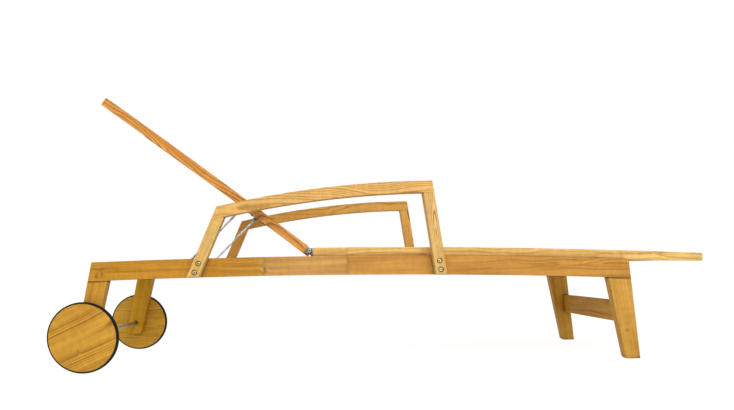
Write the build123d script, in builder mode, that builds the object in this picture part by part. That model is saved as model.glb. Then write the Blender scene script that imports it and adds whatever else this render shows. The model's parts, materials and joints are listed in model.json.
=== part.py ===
from build123d import *
from math import asin, atan, cos, degrees, radians, sin, sqrt, tan
import os

os.makedirs("parts", exist_ok=True)

# A wheeled teak sun lounger with armrests and a back that tilts on a steel prop.
# The floor is Z = 0, +X points to the foot end and +Y is the sitter's left.
# Lengths are in millimetres and leans in degrees. A lean is positive towards the foot end, going up.

# Camber that the side rails and the deck share
camber_radius = 22500.0
camber_x = -473.5
rail_rise = 280.3

# Side rails, with slanted ends that line up with the legs
frame_width = 640.0
rail_depth = 58.0
rail_thick = 30.0
head_edge_x = -948.2
head_edge_lean = 12.4
foot_edge_x = 792.3
foot_edge_lean = -5.25
edge_ease = 1.2

# Legs, their tenons and the stretcher between the foot legs
leg_thick = 36.0
wheel_leg_inner_x = -894.4
wheel_leg_inner_lean = 13.84
wheel_leg_sole = 65.0
wheel_leg_round = 12.0
foot_leg_inner_x = 748.7
foot_leg_inner_lean = -10.84
foot_leg_ease = 5.0
leg_tenon_thick = 12.0
leg_tenon_width = 40.0
leg_tenon_length = 14.0
stretcher_sole = 107.0
stretcher_depth = 66.0
stretcher_thick = 22.0
stretcher_setback = 2.0

# Cross rails between the side rails
cross_thick = 28.0
cross_depth = 50.0
head_cross_x = -842.7
middle_cross_x = -236.7
foot_cross_x = 719.3
dowel_radius = 5.0
dowel_reach = 22.0
dowel_spacing = 20.0

# Deck: seat frame and back frame, tapered towards their tips
deck_lift = 84.5
deck_gap = 1.0
deck_rail_width = 24.0
seat_rail_depth = 29.0
seat_tip_depth = 24.0
seat_tip_x = 1004.7
seat_taper = 195.0
back_rail_depth = 27.0
back_tip_depth = 26.5
back_length = 786.5
back_taper = 150.0
end_rail_width = 42.0
end_rail_depth = 20.0
slat_thick = 14.0
slat_drop = 1.0
slat_gap = 10.0
slat_ease = 2.0
seat_slat_count = 19
back_slat_count = 12
tenon_length = 8.0
tenon_thick = 7.0
tenon_shoulder = 6.0

# Cleats that carry the seat frame
cleat_thick = 22.0
cleat_depth = 27.0
cleat_end_gap = 20.0

# Hinges between the seat frame and the back frame
hinge_x = -209.4
hinge_drop = 9.0
hinge_face = 9.0
leaf_thick = 2.5
leaf_width = 21.0
leaf_margin = 1.0
eye_radius = 8.0
seat_ear_thick = 5.0
back_ear_thick = 3.0
ear_play = 0.5
hinge_pin_radius = 4.0
pin_head_radius = 6.5
pin_head_thick = 1.8
pin_recess_radius = 2.2
hinge_screw_radius = 1.7
hinge_screw_length = 24.0
hinge_screw_spread = 6.0
hinge_screw_drop = 12.8
countersink_depth = 1.6

# Steel prop that holds the back up, and the angles of the back at rest and at its steepest
rest_angle = 38.1
top_angle = 71.3
pivot_reach = 253.0
pivot_drop = 28.0
prop_slope = 43.8
prop_foot_lift = 22.1
prop_inset = 25.0
prop_ratio = 2.12
rod_radius = 3.5
foot_bar_radius = 5.0
rod_eye_radius = 7.0
rod_eye_width = 9.0
foot_bar_overhang = 12.0
prop_pin_radius = 3.0
bracket_thick = 2.0
bracket_ear_thick = 3.0
bracket_head_reach = 14.0
bracket_foot_reach = 48.0
bracket_width = 30.0
prop_rail_width = 90.0
prop_rail_shift = 14.0

# Notched racks on the inner faces of the side rails
rack_thick = 18.0
rack_sole = 1.0
rack_head_margin = 22.0
rack_gap = 0.3
notch_radius = 5.6
notch_depth = 3.6
flat_notch_shift = 110.0
low_notch_shift = 65.5
high_notch_shift = 143.0
step_width = 36.0
step_lead = 2.0
step_notch_depth = 1.2
step_notch_shift = 11.0

# Wheels on a live axle
wheel_radius = 107.7
wheel_x = -897.2
wheel_width = 22.0
wheel_gap = 13.0
wheel_ease = 1.5
tyre_thick = 5.2
tyre_inset = 1.0
axle_radius = 6.0
axle_blind = 14.0
bush_radius = 8.0
bush_flange_radius = 13.0
bush_flange_thick = 1.5
hub_radius = 25.0
hub_thick = 4.0
boss_radius = 11.0
boss_gap = 0.6
hub_screw_circle = 18.0
hub_screw_count = 4
hub_screw_bite = 15.0
hub_pin_radius = 1.5

# Armrests: a bowed board on two leaning posts, bolted to the rails
arm_radius = 3000.0
arm_crown_x = 123.3
arm_height = 273.1
arm_depth = 35.0
arm_thick = 44.0
rear_post_x = -560.7
rear_post_lean = 24.4
rear_post_width = 36.0
front_post_x = 186.9
front_post_lean = -7.7
front_post_width = 33.0
post_lift = 2.0
post_tenon_thick = 11.0
post_tenon_width = 16.0
post_tenon_length = 15.0

# Connector bolts and sleeve nuts of the armrests
bolt_low = 15.5
bolt_high = 42.0
bolt_head_radius = 7.0
bolt_head_thick = 2.0
bolt_radius = 3.0
bolt_length = 56.0
socket_across = 4.4
socket_depth = 2.8
counterbore_radius = 8.7
counterbore_depth = 2.4
nut_flange_radius = 7.5
nut_flange_thick = 2.0
nut_barrel_radius = 4.5
nut_barrel_length = 26.0

# Wood screws, and the clearances that all joints share
screw_radius = 2.2
screw_head_radius = 4.2
screw_head_thick = 2.2
screw_bite = 20.0
cleat_screw_count = 6
rack_screw_count = 4
glue_gap = 0.1
running_gap = 0.05
seat_gap = 0.3
overrun = 5.0

# Places that follow from the sizes above
rail_outer = frame_width / 2
rail_inner = rail_outer - rail_thick
leg_inner = rail_outer - leg_thick
deck_outer = rail_inner - deck_gap
deck_inner = deck_outer - deck_rail_width
prop_spread = deck_inner - prop_inset
rail_centre = (camber_x, rail_rise - camber_radius)
rail_sole = camber_radius
rail_top = camber_radius + rail_depth
deck_top = camber_radius + deck_lift
seat_sole = deck_top - seat_rail_depth
back_sole = deck_top - back_rail_depth
sides = (("left", 1), ("right", -1))


def arc_height(x, centre, radius):
    """Height of the top of an arc at x."""
    return centre[1] + sqrt(radius**2 - (x - centre[0]) ** 2)


def arc_slope(x, centre, radius):
    """Rise of the arc at x, in degrees."""
    return degrees(asin((centre[0] - x) / radius))


def edge_point(edge, centre, radius):
    """Point where a slanted edge, given as its x at zero height and its lean, meets the top of an arc."""
    slope = tan(radians(edge[1]))
    square = 1 + slope**2
    half = slope * (edge[0] - centre[0]) - centre[1]
    rest = (edge[0] - centre[0]) ** 2 + centre[1] ** 2 - radius**2
    height = (-half + sqrt(half**2 - square * rest)) / square
    return (edge[0] + slope * height, height)


def edge_x(edge, height):
    """Place of a slanted edge at a height."""
    return edge[0] + height * tan(radians(edge[1]))


def arc_between(start, end, centre, radius):
    """Draw the stretch of an arc between two of its points."""
    middle_x = (start[0] + end[0]) / 2
    return ThreePointArc(start, (middle_x, arc_height(middle_x, centre, radius)), end)


def band(centre, low, high, start, end):
    """Fill the sketch between two concentric arcs and two slanted edges."""
    start_low = edge_point(start, centre, low)
    end_low = edge_point(end, centre, low)
    start_high = edge_point(start, centre, high)
    end_high = edge_point(end, centre, high)
    with BuildLine() as outline:
        arc_between(start_low, end_low, centre, low)
        Line(end_low, end_high)
        arc_between(end_high, start_high, centre, high)
        Line(start_high, start_low)
    make_face(outline.edges())


def tapered_band(centre, low, high, root_x, tip_x, taper, tip_depth):
    """Fill the sketch with a deck rail: a band whose underside rises over its last stretch."""
    direction = 1 if tip_x > root_x else -1
    taper_x = tip_x - direction * taper
    root_low = (root_x, arc_height(root_x, centre, low))
    taper_low = (taper_x, arc_height(taper_x, centre, low))
    tip_high = (tip_x, arc_height(tip_x, centre, high))
    tip_low = (tip_x, tip_high[1] - tip_depth)
    root_high = (root_x, arc_height(root_x, centre, high))
    with BuildLine() as outline:
        arc_between(root_low, taper_low, centre, low)
        Line(taper_low, tip_low)
        Line(tip_low, tip_high)
        arc_between(tip_high, root_high, centre, high)
        Line(root_high, root_low)
    make_face(outline.edges())


def leg_outline(outer, inner, sole, centre, radius):
    """Fill the sketch with a leg or post between two slanted edges, from its sole up to an arc."""
    top_outer = edge_point(outer, centre, radius)
    top_inner = edge_point(inner, centre, radius)
    with BuildLine() as outline:
        Polyline(top_inner, (edge_x(inner, sole), sole), (edge_x(outer, sole), sole), top_outer)
        arc_between(top_outer, top_inner, centre, radius)
    make_face(outline.edges())


def slab(base, side, inner, thick):
    """Plane whose extrusion by thick fills the layer that starts inner from the middle, on one side."""
    return base.offset(-(inner + thick) if side > 0 else inner)


def save(piece, name):
    """Name a piece and write it."""
    piece.part.label = name
    export_step(piece.part, "parts/" + name + ".step")


upright = Plane.XZ
head_edge = (head_edge_x, head_edge_lean)
foot_edge = (foot_edge_x, foot_edge_lean)
wheel_leg_inner = (wheel_leg_inner_x, wheel_leg_inner_lean)
foot_leg_inner = (foot_leg_inner_x, foot_leg_inner_lean)

# The hinge axis, and the frame of the raised back: its x and z are those of the flat back, from the axis
hinge_z = arc_height(hinge_x, rail_centre, deck_top - hinge_drop)
tilt = radians(rest_angle)
back_frame = Plane(
    origin=(hinge_x, 0, hinge_z),
    x_dir=(cos(tilt), 0, -sin(tilt)),
    z_dir=(0, -1, 0),
)
back_centre = (rail_centre[0] - hinge_x, rail_centre[1] - hinge_z)
deck_root = hinge_face + leaf_thick


def back_point(x, z, angle):
    """A point of the back, given from the hinge in its flat frame, with the back raised by an angle."""
    turn = radians(angle)
    return (hinge_x + x * cos(turn) + z * sin(turn), hinge_z - x * sin(turn) + z * cos(turn))


def pivot_at(angle):
    """Prop pivot with the back raised by an angle."""
    return back_point(-pivot_reach, -pivot_drop, angle)


# The prop at rest: its foot bar lies over the racks
pivot = pivot_at(rest_angle)
foot_z = rail_rise + prop_foot_lift
prop_length = (pivot[1] - foot_z) / sin(radians(prop_slope))
foot_x = pivot[0] - prop_length * cos(radians(prop_slope))


def foot_at(angle):
    """Foot bar with the back raised by an angle, when the prop turns in step with the back."""
    turn = radians(prop_slope + (prop_ratio - 1) * (angle - rest_angle))
    top = pivot_at(angle)
    return (top[0] - prop_length * cos(turn), top[1] - prop_length * sin(turn))


# Slats of the seat and of the back, spread evenly between the end rails
seat_root_x = hinge_x + deck_root
seat_space = seat_tip_x - seat_root_x - 2 * end_rail_width
seat_pitch = (seat_space - slat_gap) / seat_slat_count
seat_slat_width = seat_pitch - slat_gap
seat_first = seat_root_x + end_rail_width + slat_gap + seat_slat_width / 2
seat_places = [seat_first + i * seat_pitch for i in range(seat_slat_count)]
back_space = back_length - deck_root - 2 * end_rail_width
back_pitch = (back_space - slat_gap) / back_slat_count
back_slat_width = back_pitch - slat_gap
back_first = -deck_root - end_rail_width - slat_gap - back_slat_width / 2
back_places = [back_first - i * back_pitch for i in range(back_slat_count)]
slat_mid = deck_top - slat_drop - slat_thick / 2
end_rail_mid = deck_top - end_rail_depth / 2
seat_end_places = [seat_root_x + end_rail_width / 2, seat_tip_x - end_rail_width / 2]
back_end_places = [-deck_root - end_rail_width / 2, -back_length + end_rail_width / 2]


def across(places, centre, radius, width, thick, ease):
    """Draw the sections of cross pieces, each square to the camber at its place."""
    for x in places:
        with Locations((x, arc_height(x, centre, radius))):
            if ease > 0:
                RectangleRounded(width, thick, ease, rotation=arc_slope(x, centre, radius))
            else:
                Rectangle(width, thick, rotation=arc_slope(x, centre, radius))


def cross_pieces(base, places, centre, radius, width, thick, ease):
    """Slats or rails between the deck's side rails, with a stub tenon at each end."""
    with BuildPart() as pieces:
        with BuildSketch(base):
            across(places, centre, radius, width, thick, ease)
        extrude(amount=deck_inner, both=True)
        with BuildSketch(base):
            across(places, centre, radius, width - 2 * tenon_shoulder, tenon_thick, 0)
        extrude(amount=deck_inner + tenon_length, both=True)
    return pieces


# Pieces of the prop rail, under the back's slats
prop_rail_thick = back_rail_depth - slat_drop - slat_thick - glue_gap
prop_rail_mid = back_sole + prop_rail_thick / 2
prop_rail_x = -pivot_reach + prop_rail_shift

# Side rails of the frame
bolt_places = []
for post_x, post_lean in ((rear_post_x, rear_post_lean), (front_post_x, front_post_lean)):
    for lift in (bolt_low, bolt_high):
        bolt_x = post_x + lift * tan(radians(post_lean))
        bolt_places.append((bolt_x, arc_height(bolt_x, rail_centre, rail_sole + lift)))

cross_rail_lifts = (
    ("head_cross_rail", head_cross_x, back_sole - seat_gap),
    ("middle_cross_rail", middle_cross_x, seat_sole - glue_gap),
    ("foot_cross_rail", foot_cross_x, seat_sole - glue_gap),
)
dowel_places = []
for name, x, top in cross_rail_lifts:
    for shift in (-dowel_spacing / 2, dowel_spacing / 2):
        dowel_places.append((x, arc_height(x, rail_centre, top - cross_depth / 2) + shift))

# Leg tenons stand square to the rail, in the middle of each leg's top
wheel_leg_top_x = (edge_point(head_edge, rail_centre, rail_sole)[0]
                   + edge_point(wheel_leg_inner, rail_centre, rail_sole)[0]) / 2
foot_leg_top_x = (edge_point(foot_edge, rail_centre, rail_sole)[0]
                  + edge_point(foot_leg_inner, rail_centre, rail_sole)[0]) / 2
leg_tenon_inner = rail_inner + (rail_thick - leg_tenon_thick) / 2

# Cleats and their screws
cleat_start = middle_cross_x + cross_thick / 2 + cleat_end_gap
cleat_end = foot_cross_x - cross_thick / 2 - cleat_end_gap
cleat_top = seat_sole - glue_gap
cleat_pitch = (cleat_end - cleat_start) / cleat_screw_count
cleat_screw_xs = [cleat_start + (i + 1 / 4) * cleat_pitch for i in range(cleat_screw_count)]
seat_screw_xs = [cleat_start + (i + 3 / 4) * cleat_pitch for i in range(cleat_screw_count)]
cleat_screw_places = [
    (x, arc_height(x, rail_centre, cleat_top - cleat_depth / 2)) for x in cleat_screw_xs
]

# Racks: a level run with notches for the lower positions of the back, and a raised step for the steepest one
rack_top = rail_sole + prop_foot_lift - foot_bar_radius - rack_gap
rest_notch_x = foot_x + (rack_gap + notch_depth) * tan(radians(prop_slope))
rack_start = rest_notch_x - flat_notch_shift - rack_head_margin
foot_end = foot_at(top_angle)
step_start = foot_end[0] - step_lead
step_top_z = foot_end[1] - foot_bar_radius - rack_gap
step_top = sqrt((step_top_z - rail_centre[1]) ** 2 + (foot_end[0] - rail_centre[0]) ** 2)
rack_end = step_start + step_width
rack_inner = rail_inner - rack_thick
notch_rise = notch_radius - notch_depth
rack_screw_pitch = (step_start - rack_start) / rack_screw_count
rack_screw_places = []
for i in range(rack_screw_count):
    x = rack_start + (i + 1 / 2) * rack_screw_pitch
    rack_screw_places.append((x, arc_height(x, rail_centre, rail_sole + (rack_top - rail_sole) / 2 - notch_rise)))

for name, side in sides:
    with BuildPart() as side_rail:
        with BuildSketch(slab(upright, side, rail_inner, rail_thick)):
            band(rail_centre, rail_sole, rail_top, head_edge, foot_edge)
        extrude(amount=rail_thick)
        fillet(side_rail.edges(), edge_ease)
        with BuildSketch(slab(upright, side, rail_inner, rail_thick)):
            with Locations(*bolt_places):
                Circle(nut_barrel_radius + glue_gap)
        extrude(amount=rail_thick, mode=Mode.SUBTRACT)
        with BuildSketch(slab(upright, side, rail_inner, nut_flange_thick + glue_gap)):
            with Locations(*bolt_places):
                Circle(nut_flange_radius + glue_gap)
        extrude(amount=nut_flange_thick + glue_gap, mode=Mode.SUBTRACT)
        with BuildSketch(slab(upright, side, rail_inner, dowel_reach + glue_gap)):
            with Locations(*dowel_places):
                Circle(dowel_radius + glue_gap)
        extrude(amount=dowel_reach + glue_gap, mode=Mode.SUBTRACT)
        with BuildSketch(slab(upright, side, rail_inner, screw_bite + glue_gap)):
            with Locations(*cleat_screw_places, *rack_screw_places):
                Circle(screw_radius + glue_gap)
        extrude(amount=screw_bite + glue_gap, mode=Mode.SUBTRACT)
        with BuildSketch(slab(upright, side, leg_tenon_inner - glue_gap, leg_tenon_thick + 2 * glue_gap)):
            for x in (wheel_leg_top_x, foot_leg_top_x):
                with Locations((x, arc_height(x, rail_centre, rail_sole))):
                    Rectangle(
                        leg_tenon_width + 2 * glue_gap,
                        2 * (leg_tenon_length + glue_gap),
                        rotation=arc_slope(x, rail_centre, rail_sole),
                    )
        extrude(amount=leg_tenon_thick + 2 * glue_gap, mode=Mode.SUBTRACT)
    save(side_rail, "side_rail_" + name)

# Cross rails, and the dowels that join them to the side rails
for name, x, top in cross_rail_lifts:
    with BuildPart() as cross_rail:
        with BuildSketch(upright):
            across([x], rail_centre, top - cross_depth / 2, cross_thick, cross_depth, edge_ease)
        extrude(amount=rail_inner, both=True)
        for side_name, side in sides:
            with BuildSketch(slab(upright, side, rail_inner - dowel_reach - glue_gap, dowel_reach + glue_gap)):
                with Locations(*[place for place in dowel_places if place[0] == x]):
                    Circle(dowel_radius + glue_gap)
            extrude(amount=dowel_reach + glue_gap, mode=Mode.SUBTRACT)
    save(cross_rail, name)

# Foot stretcher, in line with the foot legs' outer edges
stretcher_mid_z = stretcher_sole + stretcher_depth / 2
stretcher_outer = (foot_edge_x - stretcher_setback, foot_edge_lean)
stretcher_inner = (foot_edge_x - stretcher_setback - stretcher_thick, foot_edge_lean)
stretcher_mid_x = edge_x(stretcher_outer, stretcher_mid_z) - stretcher_thick / 2
stretcher_dowels = [
    (stretcher_mid_x, stretcher_mid_z - dowel_spacing / 2),
    (stretcher_mid_x, stretcher_mid_z + dowel_spacing / 2),
]
stretcher_dowel_reach = dowel_reach + dowel_radius
with BuildPart() as foot_stretcher:
    with BuildSketch(upright):
        with BuildLine() as outline:
            Polyline(
                (edge_x(stretcher_inner, stretcher_sole), stretcher_sole),
                (edge_x(stretcher_outer, stretcher_sole), stretcher_sole),
                (edge_x(stretcher_outer, stretcher_sole + stretcher_depth), stretcher_sole + stretcher_depth),
                (edge_x(stretcher_inner, stretcher_sole + stretcher_depth), stretcher_sole + stretcher_depth),
                close=True,
            )
        make_face()
    extrude(amount=leg_inner, both=True)
    fillet(foot_stretcher.edges(), edge_ease)
    for name, side in sides:
        with BuildSketch(slab(upright, side, leg_inner - stretcher_dowel_reach, stretcher_dowel_reach)):
            with Locations(*stretcher_dowels):
                Circle(dowel_radius + glue_gap)
        extrude(amount=stretcher_dowel_reach, mode=Mode.SUBTRACT)
save(foot_stretcher, "foot_stretcher")

with BuildPart() as frame_dowels:
    for name, side in sides:
        with BuildSketch(slab(upright, side, rail_inner - dowel_reach, 2 * dowel_reach)):
            with Locations(*dowel_places):
                Circle(dowel_radius)
        extrude(amount=2 * dowel_reach)
        with BuildSketch(slab(upright, side, leg_inner - dowel_reach, 2 * dowel_reach)):
            with Locations(*stretcher_dowels):
                Circle(dowel_radius)
        extrude(amount=2 * dowel_reach)
save(frame_dowels, "frame_dowels")

# Legs: tapered boards under the side rails, each with a tenon up into its rail
leg_kinds = (
    ("wheel_leg_", head_edge, wheel_leg_inner, wheel_leg_sole, wheel_leg_top_x),
    ("foot_leg_", foot_edge, foot_leg_inner, 0, foot_leg_top_x),
)
for kind, outer, inner, sole, top_x in leg_kinds:
    for name, side in sides:
        with BuildPart() as leg:
            with BuildSketch(slab(upright, side, leg_inner, leg_thick)):
                leg_outline(outer, inner, sole, rail_centre, rail_sole)
            extrude(amount=leg_thick)
            sole_edges = leg.edges().filter_by(Axis.Y).group_by(Axis.Z)[0].sort_by(Axis.X)
            if sole > 0:
                fillet(sole_edges[-1], wheel_leg_round)
            else:
                chamfer(sole_edges[0], foot_leg_ease)
            fillet(leg.edges(), edge_ease)
            with BuildSketch(slab(upright, side, leg_tenon_inner, leg_tenon_thick)):
                with Locations((top_x, arc_height(top_x, rail_centre, rail_sole))):
                    Rectangle(
                        leg_tenon_width,
                        2 * leg_tenon_length,
                        rotation=arc_slope(top_x, rail_centre, rail_sole),
                    )
            extrude(amount=leg_tenon_thick)
            if sole > 0:
                with BuildSketch(slab(upright, side, leg_inner, leg_thick)):
                    with Locations((wheel_x, wheel_radius)):
                        Circle(bush_radius + glue_gap)
            else:
                with BuildSketch(slab(upright, side, leg_inner, dowel_reach + glue_gap)):
                    with Locations(*stretcher_dowels):
                        Circle(dowel_radius + glue_gap)
            extrude(amount=leg_thick if sole > 0 else dowel_reach + glue_gap, mode=Mode.SUBTRACT)
        save(leg, kind + name)

# Armrests: posts on the outer faces of the rails, and a bowed board on top of them
arm_centre = (arm_crown_x, rail_rise + arm_height - arm_radius)
arm_sole = arm_radius - arm_depth


def post_edges(post_x, lean, width):
    """Both edges of a post, from its place and its level width at the rail's underside."""
    drop = arc_height(post_x, rail_centre, rail_sole) * tan(radians(lean))
    return ((post_x - width / 2 - drop, lean), (post_x + width / 2 - drop, lean))


rear_edges = post_edges(rear_post_x, rear_post_lean, rear_post_width)
front_edges = post_edges(front_post_x, front_post_lean, front_post_width)
post_tenons = []
for edges in (rear_edges, front_edges):
    corners = [edge_point(edge, arm_centre, arm_sole) for edge in edges]
    post_tenons.append(((corners[0][0] + corners[1][0]) / 2, (corners[0][1] + corners[1][1]) / 2))
post_tenon_inner = rail_outer + (arm_thick - post_tenon_thick) / 2
post_kinds = (
    ("arm_rear_post_", rear_edges, post_tenons[0], rear_post_x, rear_post_lean, bolt_places[:2]),
    ("arm_front_post_", front_edges, post_tenons[1], front_post_x, front_post_lean, bolt_places[2:]),
)
for name, side in sides:
    for kind, edges, tenon, post_x, lean, bolts in post_kinds:
        with BuildPart() as post:
            with BuildSketch(slab(upright, side, rail_outer, arm_thick)):
                post_sole = arc_height(post_x, rail_centre, rail_sole + post_lift)
                leg_outline(edges[0], edges[1], post_sole, arm_centre, arm_sole)
            extrude(amount=arm_thick)
            fillet(post.edges(), edge_ease)
            with BuildSketch(slab(upright, side, post_tenon_inner, post_tenon_thick)):
                with Locations(tenon):
                    Rectangle(post_tenon_width, 2 * post_tenon_length, rotation=-lean)
            extrude(amount=post_tenon_thick)
            with BuildSketch(slab(upright, side, rail_outer, arm_thick)):
                with Locations(*bolts):
                    Circle(bolt_radius + glue_gap)
            extrude(amount=arm_thick, mode=Mode.SUBTRACT)
            with BuildSketch(slab(upright, side, rail_outer + arm_thick - counterbore_depth, counterbore_depth)):
                with Locations(*bolts):
                    Circle(counterbore_radius)
            extrude(amount=counterbore_depth, mode=Mode.SUBTRACT)
        save(post, kind + name)
    with BuildPart() as arm_board:
        with BuildSketch(slab(upright, side, rail_outer, arm_thick)):
            band(arm_centre, arm_sole, arm_radius, rear_edges[0], front_edges[1])
        extrude(amount=arm_thick)
        fillet(arm_board.edges(), edge_ease)
        with BuildSketch(slab(upright, side, post_tenon_inner - glue_gap, post_tenon_thick + 2 * glue_gap)):
            for tenon, lean in ((post_tenons[0], rear_post_lean), (post_tenons[1], front_post_lean)):
                with Locations(tenon):
                    Rectangle(
                        post_tenon_width + 2 * glue_gap,
                        2 * (post_tenon_length + glue_gap),
                        rotation=-lean,
                    )
        extrude(amount=post_tenon_thick + 2 * glue_gap, mode=Mode.SUBTRACT)
    save(arm_board, "arm_board_" + name)

# Connector bolts, sunk in the posts' outer faces, and sleeve nuts sunk in the rails' inner faces
bolt_seat = rail_outer + arm_thick - counterbore_depth
with BuildPart() as arm_bolts:
    for name, side in sides:
        with BuildSketch(slab(upright, side, bolt_seat, bolt_head_thick)):
            with Locations(*bolt_places):
                Circle(bolt_head_radius)
        extrude(amount=bolt_head_thick)
        with BuildSketch(slab(upright, side, bolt_seat - bolt_length, bolt_length)):
            with Locations(*bolt_places):
                Circle(bolt_radius)
        extrude(amount=bolt_length)
        with BuildSketch(slab(upright, side, bolt_seat + bolt_head_thick - socket_depth, socket_depth)):
            with Locations(*bolt_places):
                RegularPolygon(socket_across / 2, 6, major_radius=False)
        extrude(amount=socket_depth, mode=Mode.SUBTRACT)
save(arm_bolts, "arm_bolts")

with BuildPart() as arm_nuts:
    for name, side in sides:
        with BuildSketch(slab(upright, side, rail_inner, nut_flange_thick)):
            with Locations(*bolt_places):
                Circle(nut_flange_radius)
        extrude(amount=nut_flange_thick)
        with BuildSketch(slab(upright, side, rail_inner, nut_barrel_length)):
            with Locations(*bolt_places):
                Circle(nut_barrel_radius)
        extrude(amount=nut_barrel_length)
        with BuildSketch(slab(upright, side, rail_inner, nut_barrel_length)):
            with Locations(*bolt_places):
                Circle(bolt_radius + glue_gap)
        extrude(amount=nut_barrel_length, mode=Mode.SUBTRACT)
save(arm_nuts, "arm_nuts")


# Seat frame: side rails, end rails and slats
def seat_normal(x, y, radius):
    """Plane square to the camber at x, for the screws that come up from below."""
    z = arc_height(x, rail_centre, radius)
    return Plane(
        origin=(x, y, z),
        x_dir=(0, 1, 0),
        z_dir=(x - rail_centre[0], 0, z - rail_centre[1]),
    )


seat_screw_y = (deck_inner + deck_outer) / 2
seat_screw_start = cleat_top - cleat_depth - running_gap
seat_screw_length = running_gap + cleat_depth + glue_gap + screw_bite
hinge_y = (deck_inner + deck_outer) / 2
hinge_screw_ys = (hinge_y - hinge_screw_spread, hinge_y + hinge_screw_spread)


def end_plane(base, x, y):
    """Plane across a deck rail's end, at x and y of the frame it belongs to, facing along that frame's x."""
    return Plane(origin=base.from_local_coords((x, 0, -y)), x_dir=(0, 1, 0), z_dir=base.x_dir)


seat_frame = Plane(origin=(hinge_x, 0, hinge_z), x_dir=(1, 0, 0), z_dir=(0, -1, 0))

for name, side in sides:
    with BuildPart() as seat_rail:
        with BuildSketch(slab(upright, side, deck_inner, deck_rail_width)):
            tapered_band(rail_centre, seat_sole, deck_top, seat_root_x, seat_tip_x, seat_taper, seat_tip_depth)
        extrude(amount=deck_rail_width)
        fillet(seat_rail.edges(), edge_ease)
        with BuildSketch(slab(upright, side, deck_inner - overrun, tenon_length + glue_gap + overrun)):
            across(
                seat_places, rail_centre, slat_mid,
                seat_slat_width - 2 * tenon_shoulder + 2 * glue_gap, tenon_thick + 2 * glue_gap, 0,
            )
            across(
                seat_end_places, rail_centre, end_rail_mid,
                end_rail_width - 2 * tenon_shoulder + 2 * glue_gap, tenon_thick + 2 * glue_gap, 0,
            )
        extrude(amount=tenon_length + glue_gap + overrun, mode=Mode.SUBTRACT)
        for x in seat_screw_xs:
            with BuildSketch(seat_normal(x, side * seat_screw_y, seat_screw_start)):
                Circle(screw_radius + glue_gap)
            extrude(amount=seat_screw_length + glue_gap, mode=Mode.SUBTRACT)
        for y in hinge_screw_ys:
            with BuildSketch(end_plane(seat_frame, deck_root, side * y)):
                with Locations((0, -hinge_screw_drop)):
                    Circle(hinge_screw_radius + glue_gap)
            extrude(amount=hinge_screw_length, mode=Mode.SUBTRACT)
    save(seat_rail, "seat_side_rail_" + name)

seat_slats = cross_pieces(upright, seat_places, rail_centre, slat_mid, seat_slat_width, slat_thick, slat_ease)
save(seat_slats, "seat_slats")
for name, x in (("seat_head_rail", seat_end_places[0]), ("seat_foot_rail", seat_end_places[1])):
    seat_end_rail = cross_pieces(
        upright, [x], rail_centre, end_rail_mid, end_rail_width, end_rail_depth, slat_ease
    )
    save(seat_end_rail, name)

# Cleats along the side rails, and the screws that hold them and the seat frame
for name, side in sides:
    with BuildPart() as cleat:
        with BuildSketch(slab(upright, side, rail_inner - cleat_thick, cleat_thick)):
            band(rail_centre, cleat_top - cleat_depth, cleat_top, (cleat_start, 0), (cleat_end, 0))
        extrude(amount=cleat_thick)
        with BuildSketch(slab(upright, side, rail_inner - cleat_thick, cleat_thick)):
            with Locations(*cleat_screw_places):
                Circle(screw_radius + glue_gap)
        extrude(amount=cleat_thick, mode=Mode.SUBTRACT)
        for x in seat_screw_xs:
            with BuildSketch(seat_normal(x, side * seat_screw_y, seat_screw_start)):
                Circle(screw_radius + glue_gap)
            extrude(amount=cleat_depth + overrun, both=True, mode=Mode.SUBTRACT)
    save(cleat, "seat_cleat_" + name)

with BuildPart() as cleat_screws:
    for name, side in sides:
        with BuildSketch(slab(upright, side, rail_inner - cleat_thick, cleat_thick + screw_bite)):
            with Locations(*cleat_screw_places):
                Circle(screw_radius)
        extrude(amount=cleat_thick + screw_bite)
        with BuildSketch(slab(upright, side, rail_inner - cleat_thick - screw_head_thick, screw_head_thick)):
            with Locations(*cleat_screw_places):
                Circle(screw_head_radius)
        extrude(amount=screw_head_thick)
save(cleat_screws, "cleat_screws")

with BuildPart() as seat_screws:
    for name, side in sides:
        for x in seat_screw_xs:
            with BuildSketch(seat_normal(x, side * seat_screw_y, seat_screw_start)):
                Circle(screw_radius)
            extrude(amount=seat_screw_length)
            with BuildSketch(seat_normal(x, side * seat_screw_y, seat_screw_start)):
                Circle(screw_head_radius)
            extrude(amount=-screw_head_thick)
save(seat_screws, "seat_screws")

# Back frame: side rails, end rails, slats and the rail that carries the prop
prop_tenon = prop_rail_thick - 2 * slat_ease
for name, side in sides:
    with BuildPart() as back_rail:
        with BuildSketch(slab(back_frame, side, deck_inner, deck_rail_width)):
            tapered_band(back_centre, back_sole, deck_top, -deck_root, -back_length, back_taper, back_tip_depth)
        extrude(amount=deck_rail_width)
        fillet(back_rail.edges(), edge_ease)
        with BuildSketch(slab(back_frame, side, deck_inner - overrun, tenon_length + glue_gap + overrun)):
            across(
                back_places, back_centre, slat_mid,
                back_slat_width - 2 * tenon_shoulder + 2 * glue_gap, tenon_thick + 2 * glue_gap, 0,
            )
            across(
                back_end_places, back_centre, end_rail_mid,
                end_rail_width - 2 * tenon_shoulder + 2 * glue_gap, tenon_thick + 2 * glue_gap, 0,
            )
            across(
                [prop_rail_x], back_centre, prop_rail_mid,
                prop_rail_width - 2 * tenon_shoulder + 2 * glue_gap, tenon_thick + 2 * glue_gap, 0,
            )
        extrude(amount=tenon_length + glue_gap + overrun, mode=Mode.SUBTRACT)
        for y in hinge_screw_ys:
            with BuildSketch(end_plane(back_frame, -deck_root - hinge_screw_length, side * y)):
                with Locations((0, -hinge_screw_drop)):
                    Circle(hinge_screw_radius + glue_gap)
            extrude(amount=hinge_screw_length, mode=Mode.SUBTRACT)
    save(back_rail, "back_side_rail_" + name)

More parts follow.
